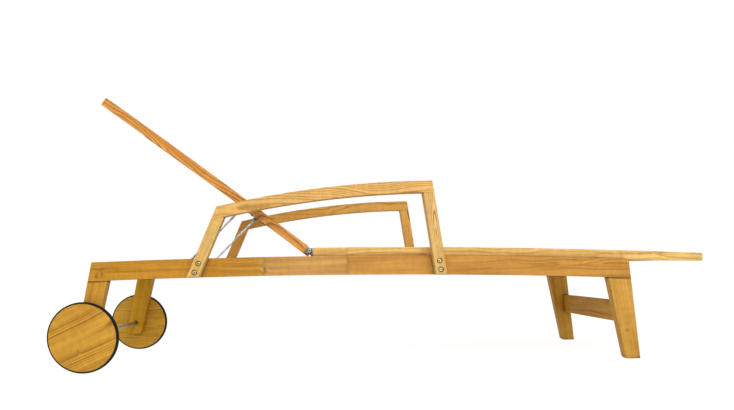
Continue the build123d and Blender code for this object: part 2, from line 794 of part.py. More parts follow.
back_slats = cross_pieces(back_frame, back_places, back_centre, slat_mid, back_slat_width, slat_thick, slat_ease)
save(back_slats, "back_slats")
for name, x in (("back_foot_rail", back_end_places[0]), ("back_head_rail", back_end_places[1])):
    back_end_rail = cross_pieces(
        back_frame, [x], back_centre, end_rail_mid, end_rail_width, end_rail_depth, slat_ease
    )
    save(back_end_rail, name)

bracket_screw_xs = (
    -pivot_reach + (rod_eye_radius + bracket_foot_reach) / 2 - screw_head_radius,
    -pivot_reach + bracket_foot_reach - 2 * screw_head_radius,
)
bracket_top_z = arc_height(-pivot_reach, back_centre, back_sole)
bracket_screw_length = prop_rail_thick + bracket_thick - 2 * glue_gap - running_gap


def bracket_plane(x, y, z):
    """Plane of the back that faces up from its underside."""
    return Plane(
        origin=back_frame.from_local_coords((x, z, -y)),
        x_dir=back_frame.x_dir,
        z_dir=back_frame.y_dir,
    )


bracket_sole_z = bracket_top_z - seat_gap - bracket_thick
with BuildPart() as prop_rail:
    with BuildSketch(back_frame):
        across([prop_rail_x], back_centre, prop_rail_mid, prop_rail_width, prop_rail_thick, slat_ease)
    extrude(amount=deck_inner, both=True)
    with BuildSketch(back_frame):
        across([prop_rail_x], back_centre, prop_rail_mid, prop_rail_width - 2 * tenon_shoulder, tenon_thick, 0)
    extrude(amount=deck_inner + tenon_length, both=True)
    for name, side in sides:
        for x in bracket_screw_xs:
            with BuildSketch(bracket_plane(x, side * prop_spread, bracket_sole_z)):
                Circle(screw_radius + glue_gap)
            extrude(amount=bracket_screw_length, mode=Mode.SUBTRACT)
save(prop_rail, "prop_rail")

# Hinges: a leaf with one ear on the seat, a leaf with two ears on the back, and a headed pin
leaf_low = hinge_drop - back_rail_depth + leaf_margin
leaf_high = hinge_drop - leaf_margin
back_ear_inner = seat_ear_thick / 2 + ear_play
ear_outer = back_ear_inner + back_ear_thick


def leaf_plate(direction):
    """Fill the sketch with a leaf's plate, on the side of the axis given by direction."""
    with Locations((direction * (hinge_face + leaf_thick / 2), (leaf_low + leaf_high) / 2)):
        Rectangle(leaf_thick, leaf_high - leaf_low)


def ear(direction):
    """Fill the sketch with an ear around the axis, joined to its plate."""
    Circle(eye_radius)
    with Locations((direction * (hinge_face + leaf_thick) / 2, 0)):
        Rectangle(hinge_face + leaf_thick, 2 * eye_radius)


def leaves(base, direction, ears):
    """Both leaves of one frame: a plate with ears, each ear given as its inner face and its thickness."""
    face = direction * hinge_face
    neck = direction * (hinge_face + countersink_depth)
    with BuildPart() as pair:
        for name, side in sides:
            with BuildSketch(slab(base, side, hinge_y - leaf_width / 2, leaf_width)):
                leaf_plate(direction)
            extrude(amount=leaf_width)
            for inner, thick in ears:
                with BuildSketch(slab(base, side, inner, thick)):
                    ear(direction)
                extrude(amount=thick)
            with BuildSketch(slab(base, side, hinge_y - leaf_width / 2, leaf_width)):
                Circle(hinge_pin_radius + running_gap)
            extrude(amount=leaf_width, mode=Mode.SUBTRACT)
            for y in hinge_screw_ys:
                with BuildSketch(end_plane(base, face, side * y)):
                    with Locations((0, -hinge_screw_drop)):
                        Circle(hinge_screw_radius + countersink_depth + running_gap)
                with BuildSketch(end_plane(base, neck, side * y)):
                    with Locations((0, -hinge_screw_drop)):
                        Circle(hinge_screw_radius + running_gap)
                loft(mode=Mode.SUBTRACT)
                with BuildSketch(end_plane(base, face, side * y)):
                    with Locations((0, -hinge_screw_drop)):
                        Circle(hinge_screw_radius + running_gap)
                extrude(amount=direction * leaf_thick, mode=Mode.SUBTRACT)
    return pair


seat_ears = ((hinge_y - seat_ear_thick / 2, seat_ear_thick),)
back_ears = ((hinge_y - ear_outer, back_ear_thick), (hinge_y + back_ear_inner, back_ear_thick))
save(leaves(seat_frame, 1, seat_ears), "hinge_seat_leaves")
save(leaves(back_frame, -1, back_ears), "hinge_back_leaves")

with BuildPart() as hinge_pins:
    for name, side in sides:
        with BuildSketch(slab(back_frame, side, hinge_y - ear_outer, 2 * ear_outer)):
            Circle(hinge_pin_radius)
        extrude(amount=2 * ear_outer)
        for inner in (hinge_y - ear_outer - pin_head_thick, hinge_y + ear_outer):
            with BuildSketch(slab(back_frame, side, inner, pin_head_thick)):
                Circle(pin_head_radius)
            extrude(amount=pin_head_thick)
        with BuildSketch(slab(back_frame, side, hinge_y + ear_outer, pin_head_thick)):
            RegularPolygon(pin_recess_radius, 6, major_radius=False)
        extrude(amount=pin_head_thick, mode=Mode.SUBTRACT)
save(hinge_pins, "hinge_pins")


def leaf_screws(base, direction):
    """Countersunk screws through a pair of leaves into the ends of the rails."""
    face = direction * hinge_face
    neck = direction * (hinge_face + countersink_depth)
    start = neck if direction > 0 else neck - hinge_screw_length
    with BuildPart() as screws:
        for name, side in sides:
            for y in hinge_screw_ys:
                with BuildSketch(end_plane(base, face, side * y)):
                    with Locations((0, -hinge_screw_drop)):
                        Circle(hinge_screw_radius + countersink_depth)
                with BuildSketch(end_plane(base, neck, side * y)):
                    with Locations((0, -hinge_screw_drop)):
                        Circle(hinge_screw_radius)
                loft()
                with BuildSketch(end_plane(base, start, side * y)):
                    with Locations((0, -hinge_screw_drop)):
                        Circle(hinge_screw_radius)
                extrude(amount=hinge_screw_length)
    return screws


save(leaf_screws(seat_frame, 1), "hinge_seat_screws")
save(leaf_screws(back_frame, -1), "hinge_back_screws")

# Brackets under the prop rail, with the pins that the prop's rods swing on
bracket_half = rod_eye_width / 2 + running_gap + seat_gap
bracket_low_z = -pivot_drop - rod_eye_radius
bracket_mid_x = -pivot_reach + (bracket_foot_reach - bracket_head_reach) / 2
with BuildPart() as prop_brackets:
    for name, side in sides:
        with BuildSketch(slab(back_frame, side, prop_spread - bracket_width / 2, bracket_width)):
            with Locations((bracket_mid_x, bracket_top_z - seat_gap - bracket_thick / 2)):
                Rectangle(bracket_head_reach + bracket_foot_reach, bracket_thick)
        extrude(amount=bracket_width)
        for inner in (prop_spread - bracket_half - bracket_ear_thick, prop_spread + bracket_half):
            with BuildSketch(slab(back_frame, side, inner, bracket_ear_thick)):
                with Locations((-pivot_reach, -pivot_drop)):
                    Circle(rod_eye_radius)
                with Locations((-pivot_reach, (bracket_sole_z - pivot_drop) / 2)):
                    Rectangle(2 * rod_eye_radius, bracket_sole_z + pivot_drop)
            extrude(amount=bracket_ear_thick)
        with BuildSketch(slab(back_frame, side, prop_spread - bracket_width / 2, bracket_width)):
            with Locations((-pivot_reach, -pivot_drop)):
                Circle(prop_pin_radius + running_gap)
        extrude(amount=bracket_width, mode=Mode.SUBTRACT)
        for x in bracket_screw_xs:
            with BuildSketch(bracket_plane(x, side * prop_spread, bracket_sole_z - overrun)):
                Circle(screw_radius + glue_gap)
            extrude(amount=2 * overrun, mode=Mode.SUBTRACT)
save(prop_brackets, "prop_brackets")

bracket_reach = bracket_half + bracket_ear_thick
with BuildPart() as prop_pins:
    for name, side in sides:
        with BuildSketch(slab(back_frame, side, prop_spread - bracket_reach, 2 * bracket_reach)):
            with Locations((-pivot_reach, -pivot_drop)):
                Circle(prop_pin_radius)
        extrude(amount=2 * bracket_reach)
        for inner in (prop_spread - bracket_reach - pin_head_thick, prop_spread + bracket_reach):
            with BuildSketch(slab(back_frame, side, inner, pin_head_thick)):
                with Locations((-pivot_reach, -pivot_drop)):
                    Circle(prop_pin_radius + pin_head_thick)
            extrude(amount=pin_head_thick)
save(prop_pins, "prop_pins")

with BuildPart() as bracket_screws:
    for name, side in sides:
        for x in bracket_screw_xs:
            with BuildSketch(bracket_plane(x, side * prop_spread, bracket_sole_z)):
                Circle(screw_radius)
            extrude(amount=bracket_screw_length - glue_gap)
            with BuildSketch(bracket_plane(x, side * prop_spread, bracket_sole_z - screw_head_thick)):
                Circle(screw_head_radius)
            extrude(amount=screw_head_thick)
save(bracket_screws, "bracket_screws")

# Prop: two rods with eyes at the top, welded to a foot bar that reaches over both racks
prop_turn = radians(prop_slope)
rod_direction = (-cos(prop_turn), 0, -sin(prop_turn))
for name, side in sides:
    with BuildPart() as prop_rod:
        with BuildSketch(Plane(origin=(pivot[0], side * prop_spread, pivot[1]), z_dir=rod_direction)):
            Circle(rod_radius)
        extrude(amount=prop_length)
        with BuildSketch(slab(upright, side, prop_spread - rod_eye_width / 2, rod_eye_width)):
            with Locations(pivot):
                Circle(rod_eye_radius)
        extrude(amount=rod_eye_width)
        with BuildSketch(slab(upright, side, prop_spread - rod_eye_width, 2 * rod_eye_width)):
            with Locations(pivot):
                Circle(prop_pin_radius + running_gap)
            with Locations((foot_x, foot_z)):
                Circle(foot_bar_radius + running_gap)
        extrude(amount=2 * rod_eye_width, mode=Mode.SUBTRACT)
    save(prop_rod, "prop_rod_" + name)

with BuildPart() as prop_foot_bar:
    with BuildSketch(upright):
        with Locations((foot_x, foot_z)):
            Circle(foot_bar_radius)
    extrude(amount=rack_inner + foot_bar_overhang, both=True)
    fillet(prop_foot_bar.edges().filter_by(GeomType.CIRCLE), edge_ease)
save(prop_foot_bar, "prop_foot_bar")

# Racks for the foot bar, screwed to the inner faces of the side rails
notches = []
for shift in (-flat_notch_shift, -low_notch_shift, 0, high_notch_shift):
    x = rest_notch_x + shift
    notches.append((x, arc_height(x, rail_centre, rack_top + notch_rise)))
notches.append((foot_end[0] + step_notch_shift, step_top_z + notch_radius - step_notch_depth))
for name, side in sides:
    with BuildPart() as rack:
        with BuildSketch(slab(upright, side, rack_inner, rack_thick)):
            band(rail_centre, rail_sole + rack_sole, rack_top, (rack_start, 0), (rack_end, 0))
            band(rail_centre, rail_sole + rack_sole, step_top, (step_start, 0), (rack_end, 0))
        extrude(amount=rack_thick)
        with BuildSketch(slab(upright, side, rack_inner, rack_thick)):
            with Locations(*notches):
                Circle(notch_radius)
        extrude(amount=rack_thick, mode=Mode.SUBTRACT)
        with BuildSketch(slab(upright, side, rack_inner, rack_thick)):
            with Locations(*rack_screw_places):
                Circle(screw_radius + glue_gap)
        extrude(amount=rack_thick, mode=Mode.SUBTRACT)
    save(rack, "prop_rack_" + name)

with BuildPart() as rack_screws:
    for name, side in sides:
        with BuildSketch(slab(upright, side, rack_inner, rack_thick + screw_bite)):
            with Locations(*rack_screw_places):
                Circle(screw_radius)
        extrude(amount=rack_thick + screw_bite)
        with BuildSketch(slab(upright, side, rack_inner - screw_head_thick, screw_head_thick)):
            with Locations(*rack_screw_places):
                Circle(screw_head_radius)
        extrude(amount=screw_head_thick)
save(rack_screws, "rack_screws")

# Live axle in flanged bushes, with a hub pinned to each end and a wheel screwed to each hub
wheel_centre = (wheel_x, wheel_radius)
wheel_inner = rail_outer + wheel_gap
hub_inner = wheel_inner - hub_thick
boss_inner = rail_outer + bush_flange_thick + boss_gap
disc_radius = wheel_radius - tyre_thick
hub_pin_y = (boss_inner + hub_inner) / 2
with BuildPart() as axle:
    with BuildSketch(upright):
        with Locations(wheel_centre):
            Circle(axle_radius)
    extrude(amount=wheel_inner + axle_blind, both=True)
    for name, side in sides:
        with BuildSketch(Plane.XY.offset(wheel_radius)):
            with Locations((wheel_x, side * hub_pin_y)):
                Circle(hub_pin_radius + running_gap)
        extrude(amount=2 * axle_radius, both=True, mode=Mode.SUBTRACT)
save(axle, "axle")

with BuildPart() as hub_pins:
    for name, side in sides:
        with BuildSketch(Plane.XY.offset(wheel_radius)):
            with Locations((wheel_x, side * hub_pin_y)):
                Circle(hub_pin_radius)
        extrude(amount=boss_radius, both=True)
save(hub_pins, "hub_pins")

with BuildPart() as hub_screws:
    for name, side in sides:
        with BuildSketch(slab(upright, side, hub_inner, hub_thick + hub_screw_bite)):
            with Locations(wheel_centre):
                with PolarLocations(hub_screw_circle, hub_screw_count):
                    Circle(screw_radius)
        extrude(amount=hub_thick + hub_screw_bite)
        with BuildSketch(slab(upright, side, hub_inner - screw_head_thick, screw_head_thick)):
            with Locations(wheel_centre):
                with PolarLocations(hub_screw_circle, hub_screw_count):
                    Circle(screw_head_radius)
        extrude(amount=screw_head_thick)
save(hub_screws, "hub_screws")

with BuildPart() as axle_bushes:
    for name, side in sides:
        with BuildSketch(slab(upright, side, leg_inner, leg_thick)):
            with Locations(wheel_centre):
                Circle(bush_radius)
        extrude(amount=leg_thick)
        with BuildSketch(slab(upright, side, rail_outer, bush_flange_thick)):
            with Locations(wheel_centre):
                Circle(bush_flange_radius)
        extrude(amount=bush_flange_thick)
        with BuildSketch(slab(upright, side, leg_inner, leg_thick + bush_flange_thick)):
            with Locations(wheel_centre):
                Circle(axle_radius + running_gap)
        extrude(amount=leg_thick + bush_flange_thick, mode=Mode.SUBTRACT)
save(axle_bushes, "axle_bushes")

for name, side in sides:
    with BuildPart() as wheel_hub:
        with BuildSketch(slab(upright, side, hub_inner, hub_thick)):
            with Locations(wheel_centre):
                Circle(hub_radius)
        extrude(amount=hub_thick)
        with BuildSketch(slab(upright, side, boss_inner, hub_inner - boss_inner)):
            with Locations(wheel_centre):
                Circle(boss_radius)
        extrude(amount=hub_inner - boss_inner)
        with BuildSketch(slab(upright, side, boss_inner, hub_inner - boss_inner + hub_thick)):
            with Locations(wheel_centre):
                Circle(axle_radius + running_gap)
                with PolarLocations(hub_screw_circle, hub_screw_count):
                    Circle(screw_radius + glue_gap)
        extrude(amount=hub_inner - boss_inner + hub_thick, mode=Mode.SUBTRACT)
        with BuildSketch(Plane.XY.offset(wheel_radius)):
            with Locations((wheel_x, side * hub_pin_y)):
                Circle(hub_pin_radius + running_gap)
        extrude(amount=2 * boss_radius, both=True, mode=Mode.SUBTRACT)
    save(wheel_hub, "wheel_hub_" + name)
    with BuildPart() as wheel_disc:
        with BuildSketch(slab(upright, side, wheel_inner, wheel_width)):
            with Locations(wheel_centre):
                Circle(disc_radius)
        extrude(amount=wheel_width)
        fillet(wheel_disc.edges().filter_by(GeomType.CIRCLE), wheel_ease)
        with BuildSketch(slab(upright, side, wheel_inner, axle_blind + seat_gap)):
            with Locations(wheel_centre):
                Circle(axle_radius + running_gap)
        extrude(amount=axle_blind + seat_gap, mode=Mode.SUBTRACT)
        with BuildSketch(slab(upright, side, wheel_inner, hub_screw_bite + glue_gap)):
            with Locations(wheel_centre):
                with PolarLocations(hub_screw_circle, hub_screw_count):
                    Circle(screw_radius + glue_gap)
        extrude(amount=hub_screw_bite + glue_gap, mode=Mode.SUBTRACT)
    save(wheel_disc, "wheel_disc_" + name)
    with BuildPart() as tyre:
        with BuildSketch(slab(upright, side, wheel_inner + tyre_inset, wheel_width - 2 * tyre_inset)):
            with Locations(wheel_centre):
                Circle(wheel_radius)
                Circle(disc_radius + running_gap, mode=Mode.SUBTRACT)
        extrude(amount=wheel_width - 2 * tyre_inset)
        outer_rims = tyre.edges().filter_by(GeomType.CIRCLE).group_by(SortBy.RADIUS)[-1]
        fillet(outer_rims, wheel_ease)
    save(tyre, "tyre_" + name)
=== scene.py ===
"""Wheeled teak sun lounger with armrests: the timber, the steel fittings, the tyres and the studio."""
import math
from functools import cache, partial

import bmesh
import bpy
import numpy as np
from bpy.props import FloatProperty, FloatVectorProperty, IntProperty, PointerProperty
from bpy.types import Node, NodeSocket, Operator, Panel, PropertyGroup
from mathutils import Matrix, Vector
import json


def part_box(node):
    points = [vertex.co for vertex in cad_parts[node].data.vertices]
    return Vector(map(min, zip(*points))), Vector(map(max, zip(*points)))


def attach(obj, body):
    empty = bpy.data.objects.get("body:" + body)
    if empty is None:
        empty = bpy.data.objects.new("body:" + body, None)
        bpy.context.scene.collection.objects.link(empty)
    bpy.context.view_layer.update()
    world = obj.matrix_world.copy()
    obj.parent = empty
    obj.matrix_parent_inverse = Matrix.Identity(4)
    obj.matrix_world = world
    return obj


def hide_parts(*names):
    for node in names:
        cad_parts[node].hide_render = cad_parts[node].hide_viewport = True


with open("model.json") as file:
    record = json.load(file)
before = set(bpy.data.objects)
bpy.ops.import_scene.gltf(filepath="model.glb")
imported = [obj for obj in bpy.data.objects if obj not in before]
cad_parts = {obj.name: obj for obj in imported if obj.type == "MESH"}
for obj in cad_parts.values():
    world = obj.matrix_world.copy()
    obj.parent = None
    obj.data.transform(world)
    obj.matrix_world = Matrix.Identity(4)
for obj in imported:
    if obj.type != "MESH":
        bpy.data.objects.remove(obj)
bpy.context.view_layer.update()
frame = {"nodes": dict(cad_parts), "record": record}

bl_info = {
    "name": "Teak sun lounger",
    "version": (1, 0, 0),
    "blender": (4, 5, 0),
    "location": "3D View > Sidebar > Lounger",
    "description": "Dresses a wheeled teak sun lounger and sets up its studio",
    "category": "Object",
}

MM = 0.001
BODY_OF = {node: body for body, nodes in frame["record"]["behaviour"]["bodies"].items() for node in nodes}
HINGE = next(joint for joint in frame["record"]["behaviour"]["joints"] if joint["name"] == "back_hinge")
HINGE_AXIS = Vector(HINGE["pos_m"])
BACK_REST = math.radians(-HINGE["range_deg"][0])
ALONG_X, ALONG_Y, ALONG_Z = Vector((1, 0, 0)), Vector((0, 1, 0)), Vector((0, 0, 1))
BACK_ALONG = Vector((math.cos(BACK_REST), 0, -math.sin(BACK_REST)))
BACK_UP = Vector((math.sin(BACK_REST), 0, math.cos(BACK_REST)))

# Tones of oiled teak: the pale wood between the rings, the body tone and the late wood of the rings
HONEY = ("#deb26a", "#d09d52", "#8f5d26")
FLAX = ("#e2be79", "#d4a95e", "#8f642e")
AMBER = ("#c89442", "#b78135", "#7e5220")
SAND = ("#dcaa5a", "#cc9745", "#8a5c24")
STRAW = ("#ecb962", "#dca650", "#96682a")
RUSSET = ("#dca052", "#c68238", "#84481c")
OCHRE = ("#d6a848", "#c4943c", "#86592a")
GOLD = ("#d2a03a", "#c08c2e", "#805418")

# Patterns of the wood: length along the grain and width across it in millimetres, and the noise's detail. The
# real fibres and pores are under half as wide, too fine to show, so they are drawn coarser.
WANDER = (90.9091, 18.1818, 2.0)
FIBRE = (111.1111, 1.6129, 3.0)
PORES = (25.0, 1.1111, 1.0)
STREAK = (333.3333, 14.2857, 2.0)
CLOUD = (142.8571, 62.5, 2.0)
RIPPLE = (13.333333, 33.3333, 3.0)
GROUP = (625.0, 29.4118, 1.0)
DRIFT_LENGTH, GROWTH_WIDTH = 416.6667 * MM, 26.3158 * MM

# Levels of the noise between which pores open and groups of rings set in, how much of the rings shows between
# the groups, and how far growth shifts them, in rings for each millimetre of a ring's width
PORE_LEVELS = (0.60, 0.72)
GROUP_LEVELS, CALM_RINGS = (0.40, 0.58), 0.2
GROWTH_SHIFT = 0.95

# Each board is cut this many metres further along the log than the one before
BOARD_STEP = 7.31

# The pith lies this deep under a board, its place differs from board to board and drifts along one board by
# these widths, single rings wander by this width, and a distance across a knot counts for this share
PITH_DEPTH = 38 * MM
PITH_ACROSS, PITH_INWARD = 60 * MM, 40 * MM
DRIFT_ACROSS, DRIFT_INWARD = 90 * MM, 60 * MM
RING_WANDER = 5 * MM
KNOT_ACROSS = 0.6

# How much each cause changes the wood's brightness, as a share of it
FIBRE_SHADE, CLOUD_SHADE, RIPPLE_SHADE, BOARD_SHADE = 0.30, 0.34, 0.36, 0.14
PORE_SHADE, KNOT_SHADE, SEAM_SHADE, SEAM_STAIN, SHOULDER_SHADE = 0.16, 0.34, 0.12, 0.32, 0.6
SEAM_LINE, SEAM_REACH = 0.7 * MM, 9 * MM
SHOULDER_START, SHOULDER_END = 4.5 * MM, 1.0 * MM

# A leg's outer face is found with this slack, and its joint lies within this rise of the face's top
FACE_SLACK, SHOULDER_RISE = 0.1 * MM, 8 * MM

# Glued end joints of the side rails along the lounger, and the rails' outer faces across it, in metres
HEAD_SEAM, SEAT_SEAM = -0.349, -0.093
RAIL_Y = 0.32

# Studio: each lamp's place, aim and size in metres, the camera's place, roll in degrees and shift, and how
# brightly and by which share the floor glows where it is seen directly
KEY_LAMP = ((0.35, -2.9, 1.6), (0.1, -0.3, 0.35), 2.4)
FILL_LAMP = ((-5.5, -2.4, 1.8), (0.2, 0, 0.2), 2.4)
CAMERA_X, CAMERA_Z = -0.164, 0.2971
CAMERA_ROLL = 1.459
CAMERA_SHIFT = (0.0579, 0.0869)
SENSOR_WIDTH, IMAGE_WIDTH = 36.0, 734
FLOOR_GLOW, FLOOR_GLOW_SHARE = 1.2, 0.75
FLOOR_HALF, FLOOR_DROP = 20.0, 0.2 * MM
WHITE = (1.0, 1.0, 1.0, 1.0)

# Meshes: points this near are one, an axis this straight is a main one, and faces that turn by less than the
# smooth angle are shaded as one, by less than the flat angle are joined, and by more than the sharp angle get
# their edge broken
WELD = 0.002 * MM
STRAIGHT = 0.9999
SMOOTH_ANGLE, FLAT_ANGLE, SHARP_ANGLE = 32.0, 0.5, 40.0

# Screws and bolts: the head lies outside this share of the greatest radius, the shank is measured over this
# share of the length, the cross recess has this reach and width as shares of the head's radius, the bolts'
# socket is this wide, and each head is turned by so many degrees from the one before
HEAD_SHARE, SHANK_SHARE = 0.85, 0.2
CROSS_REACH, CROSS_WIDTH = 0.55, 0.2
BOLT_SOCKET = 4.4 * MM
SCREW_TURN = 37.0

# Tyres: the gap to the disc, the side wall's drop under the tread, the shoulder's drop and width, the margin
# beside the grooves, and a groove's lip and depth
TYRE_FIT = 0.05 * MM
WALL_DROP, SHOULDER_DROP, SHOULDER_WIDTH = 2.2 * MM, 0.5 * MM, 1.2 * MM
TREAD_MARGIN, GROOVE_LIP, GROOVE_DEPTH = 2.4 * MM, 0.6 * MM, 1.4 * MM
TYRE_STEPS = 128


def linear(code):
    """Turn an sRGB hex colour into the linear colour that shaders take."""
    parts = [int(code[i:i + 2], 16) / 255 for i in (1, 3, 5)]
    return tuple(p / 12.92 if p <= 0.04045 else ((p + 0.055) / 1.055) ** 2.4 for p in parts) + (1.0,)


def add_node(tree, kind, *values, inputs=None, stops=(), **settings):
    """Add a node with its settings and ramp stops, and set or link its inputs, in order or by name.

    A node given as a value stands for its first output.
    """
    node = tree.nodes.new(kind)
    for name, value in settings.items():
        setattr(node, name, value)
    for name, value in (*enumerate(values), *(inputs or {}).items()):
        if isinstance(value, Node):
            value = value.outputs[0]
        if isinstance(value, NodeSocket):
            tree.links.new(value, node.inputs[name])
        else:
            node.inputs[name].default_value = value
    if stops:
        elements = node.color_ramp.elements
        while len(elements) < len(stops):
            elements.new(1.0)
        for element, (place, code) in zip(elements, stops):
            element.position = place
            element.color = linear(code)
    return node


def new_material(name):
    """An empty material, and the function that adds a node to it."""
    material = bpy.data.materials.new(name)
    material.use_nodes = True
    material.node_tree.nodes.clear()
    return material, partial(add_node, material.node_tree)


def sway(add, value, noise, amount):
    """The value, moved to either side by a noise round one half."""
    low = add("ShaderNodeMath", value, -amount / 2, operation="ADD")
    return add("ShaderNodeMath", noise, amount, low, operation="MULTIPLY_ADD")


def contact_shade(add, reach, depth, steepness=1.0):
    """A factor of painted shade that falls in narrow corners and joints."""
    corner = add("ShaderNodeAmbientOcclusion", inputs={"Distance": reach}, samples=6).outputs["AO"]
    corner = add("ShaderNodeMath", corner, steepness, operation="POWER")
    return add("ShaderNodeMath", corner, depth, 1.0 - depth, operation="MULTIPLY_ADD")


def grain_noise(add, log, length, width, detail):
    """Noise at a place in the log, of a length along the grain and a width across it in millimetres."""
    scale = (1 / (length * MM), 1 / (width * MM), 1 / (width * MM))
    scaled = (add("ShaderNodeMath", value, factor, operation="MULTIPLY") for value, factor in zip(log, scale))
    at = add("ShaderNodeCombineXYZ", *scaled)
    return add("ShaderNodeTexNoise", inputs={"Vector": at, "Scale": 1.0, "Detail": detail})


def follow_profile(add, place, profile, start):
    """The start value, raised or lowered along a profile of (place, level) pairs round the level 1."""
    value = start
    if profile:
        value = add("ShaderNodeMath", start, profile[0][1] - 1.0, operation="ADD")
    for (low, before), (high, after) in zip(profile, profile[1:]):
        step = add("ShaderNodeMapRange", place, low, high, 0.0, after - before)
        value = add("ShaderNodeMath", value, step, operation="ADD")
    return value


def ring_distance(add, place, log, cut, luck, fine, knots, wander):
    """Distance to the log's pith, which bends round the knots, and how much of each place is knot."""
    along, face, depth = place

    # The grain drifts slowly along the log, and the pith lies elsewhere for each board
    drift_at = add("ShaderNodeMath", log[0], 1 / DRIFT_LENGTH, operation="MULTIPLY")
    drift_at = add("ShaderNodeCombineXYZ", drift_at, cut)
    drift = add("ShaderNodeTexNoise", inputs={"Vector": drift_at, "Scale": 1.0, "Detail": 1.5})
    drift = add("ShaderNodeSeparateXYZ", drift.outputs["Color"]).outputs
    across = sway(add, face, luck[0], PITH_ACROSS)
    across = sway(add, across, drift[0], DRIFT_ACROSS * wander)
    inward = add("ShaderNodeMath", depth, PITH_DEPTH, operation="ADD")
    inward = sway(add, inward, luck[1], PITH_INWARD)
    inward = sway(add, inward, drift[1], DRIFT_INWARD * wander)
    reach = add("ShaderNodeCombineXYZ", across, inward)
    reach = add("ShaderNodeVectorMath", reach, operation="LENGTH").outputs["Value"]
    reach = add("ShaderNodeMath", fine, RING_WANDER, reach, operation="MULTIPLY_ADD")

    # The rings bend round a knot, which is dark and a little drawn out across the board
    heart = 0.0
    for knot_along, knot_face, radius in knots:
        off_along = add("ShaderNodeMath", along, knot_along, operation="SUBTRACT")
        off_face = add("ShaderNodeMath", face, knot_face, operation="SUBTRACT")
        off_face = add("ShaderNodeMath", off_face, KNOT_ACROSS, operation="MULTIPLY")
        span = add("ShaderNodeCombineXYZ", off_along, off_face)
        span = add("ShaderNodeVectorMath", span, operation="LENGTH").outputs["Value"]
        span = sway(add, span, fine, radius)
        bend = add("ShaderNodeMapRange", span, 0.0, 3.5 * radius, 1.0, 0.0, interpolation_type="SMOOTHERSTEP")
        reach = add("ShaderNodeMath", bend, radius, reach, operation="MULTIPLY_ADD")
        core = add(
            "ShaderNodeMapRange", span, 0.2 * radius, 1.3 * radius, 1.0, 0.0, interpolation_type="SMOOTHSTEP",
        )
        heart = add("ShaderNodeMath", core, heart, operation="MAXIMUM")
    return reach, heart


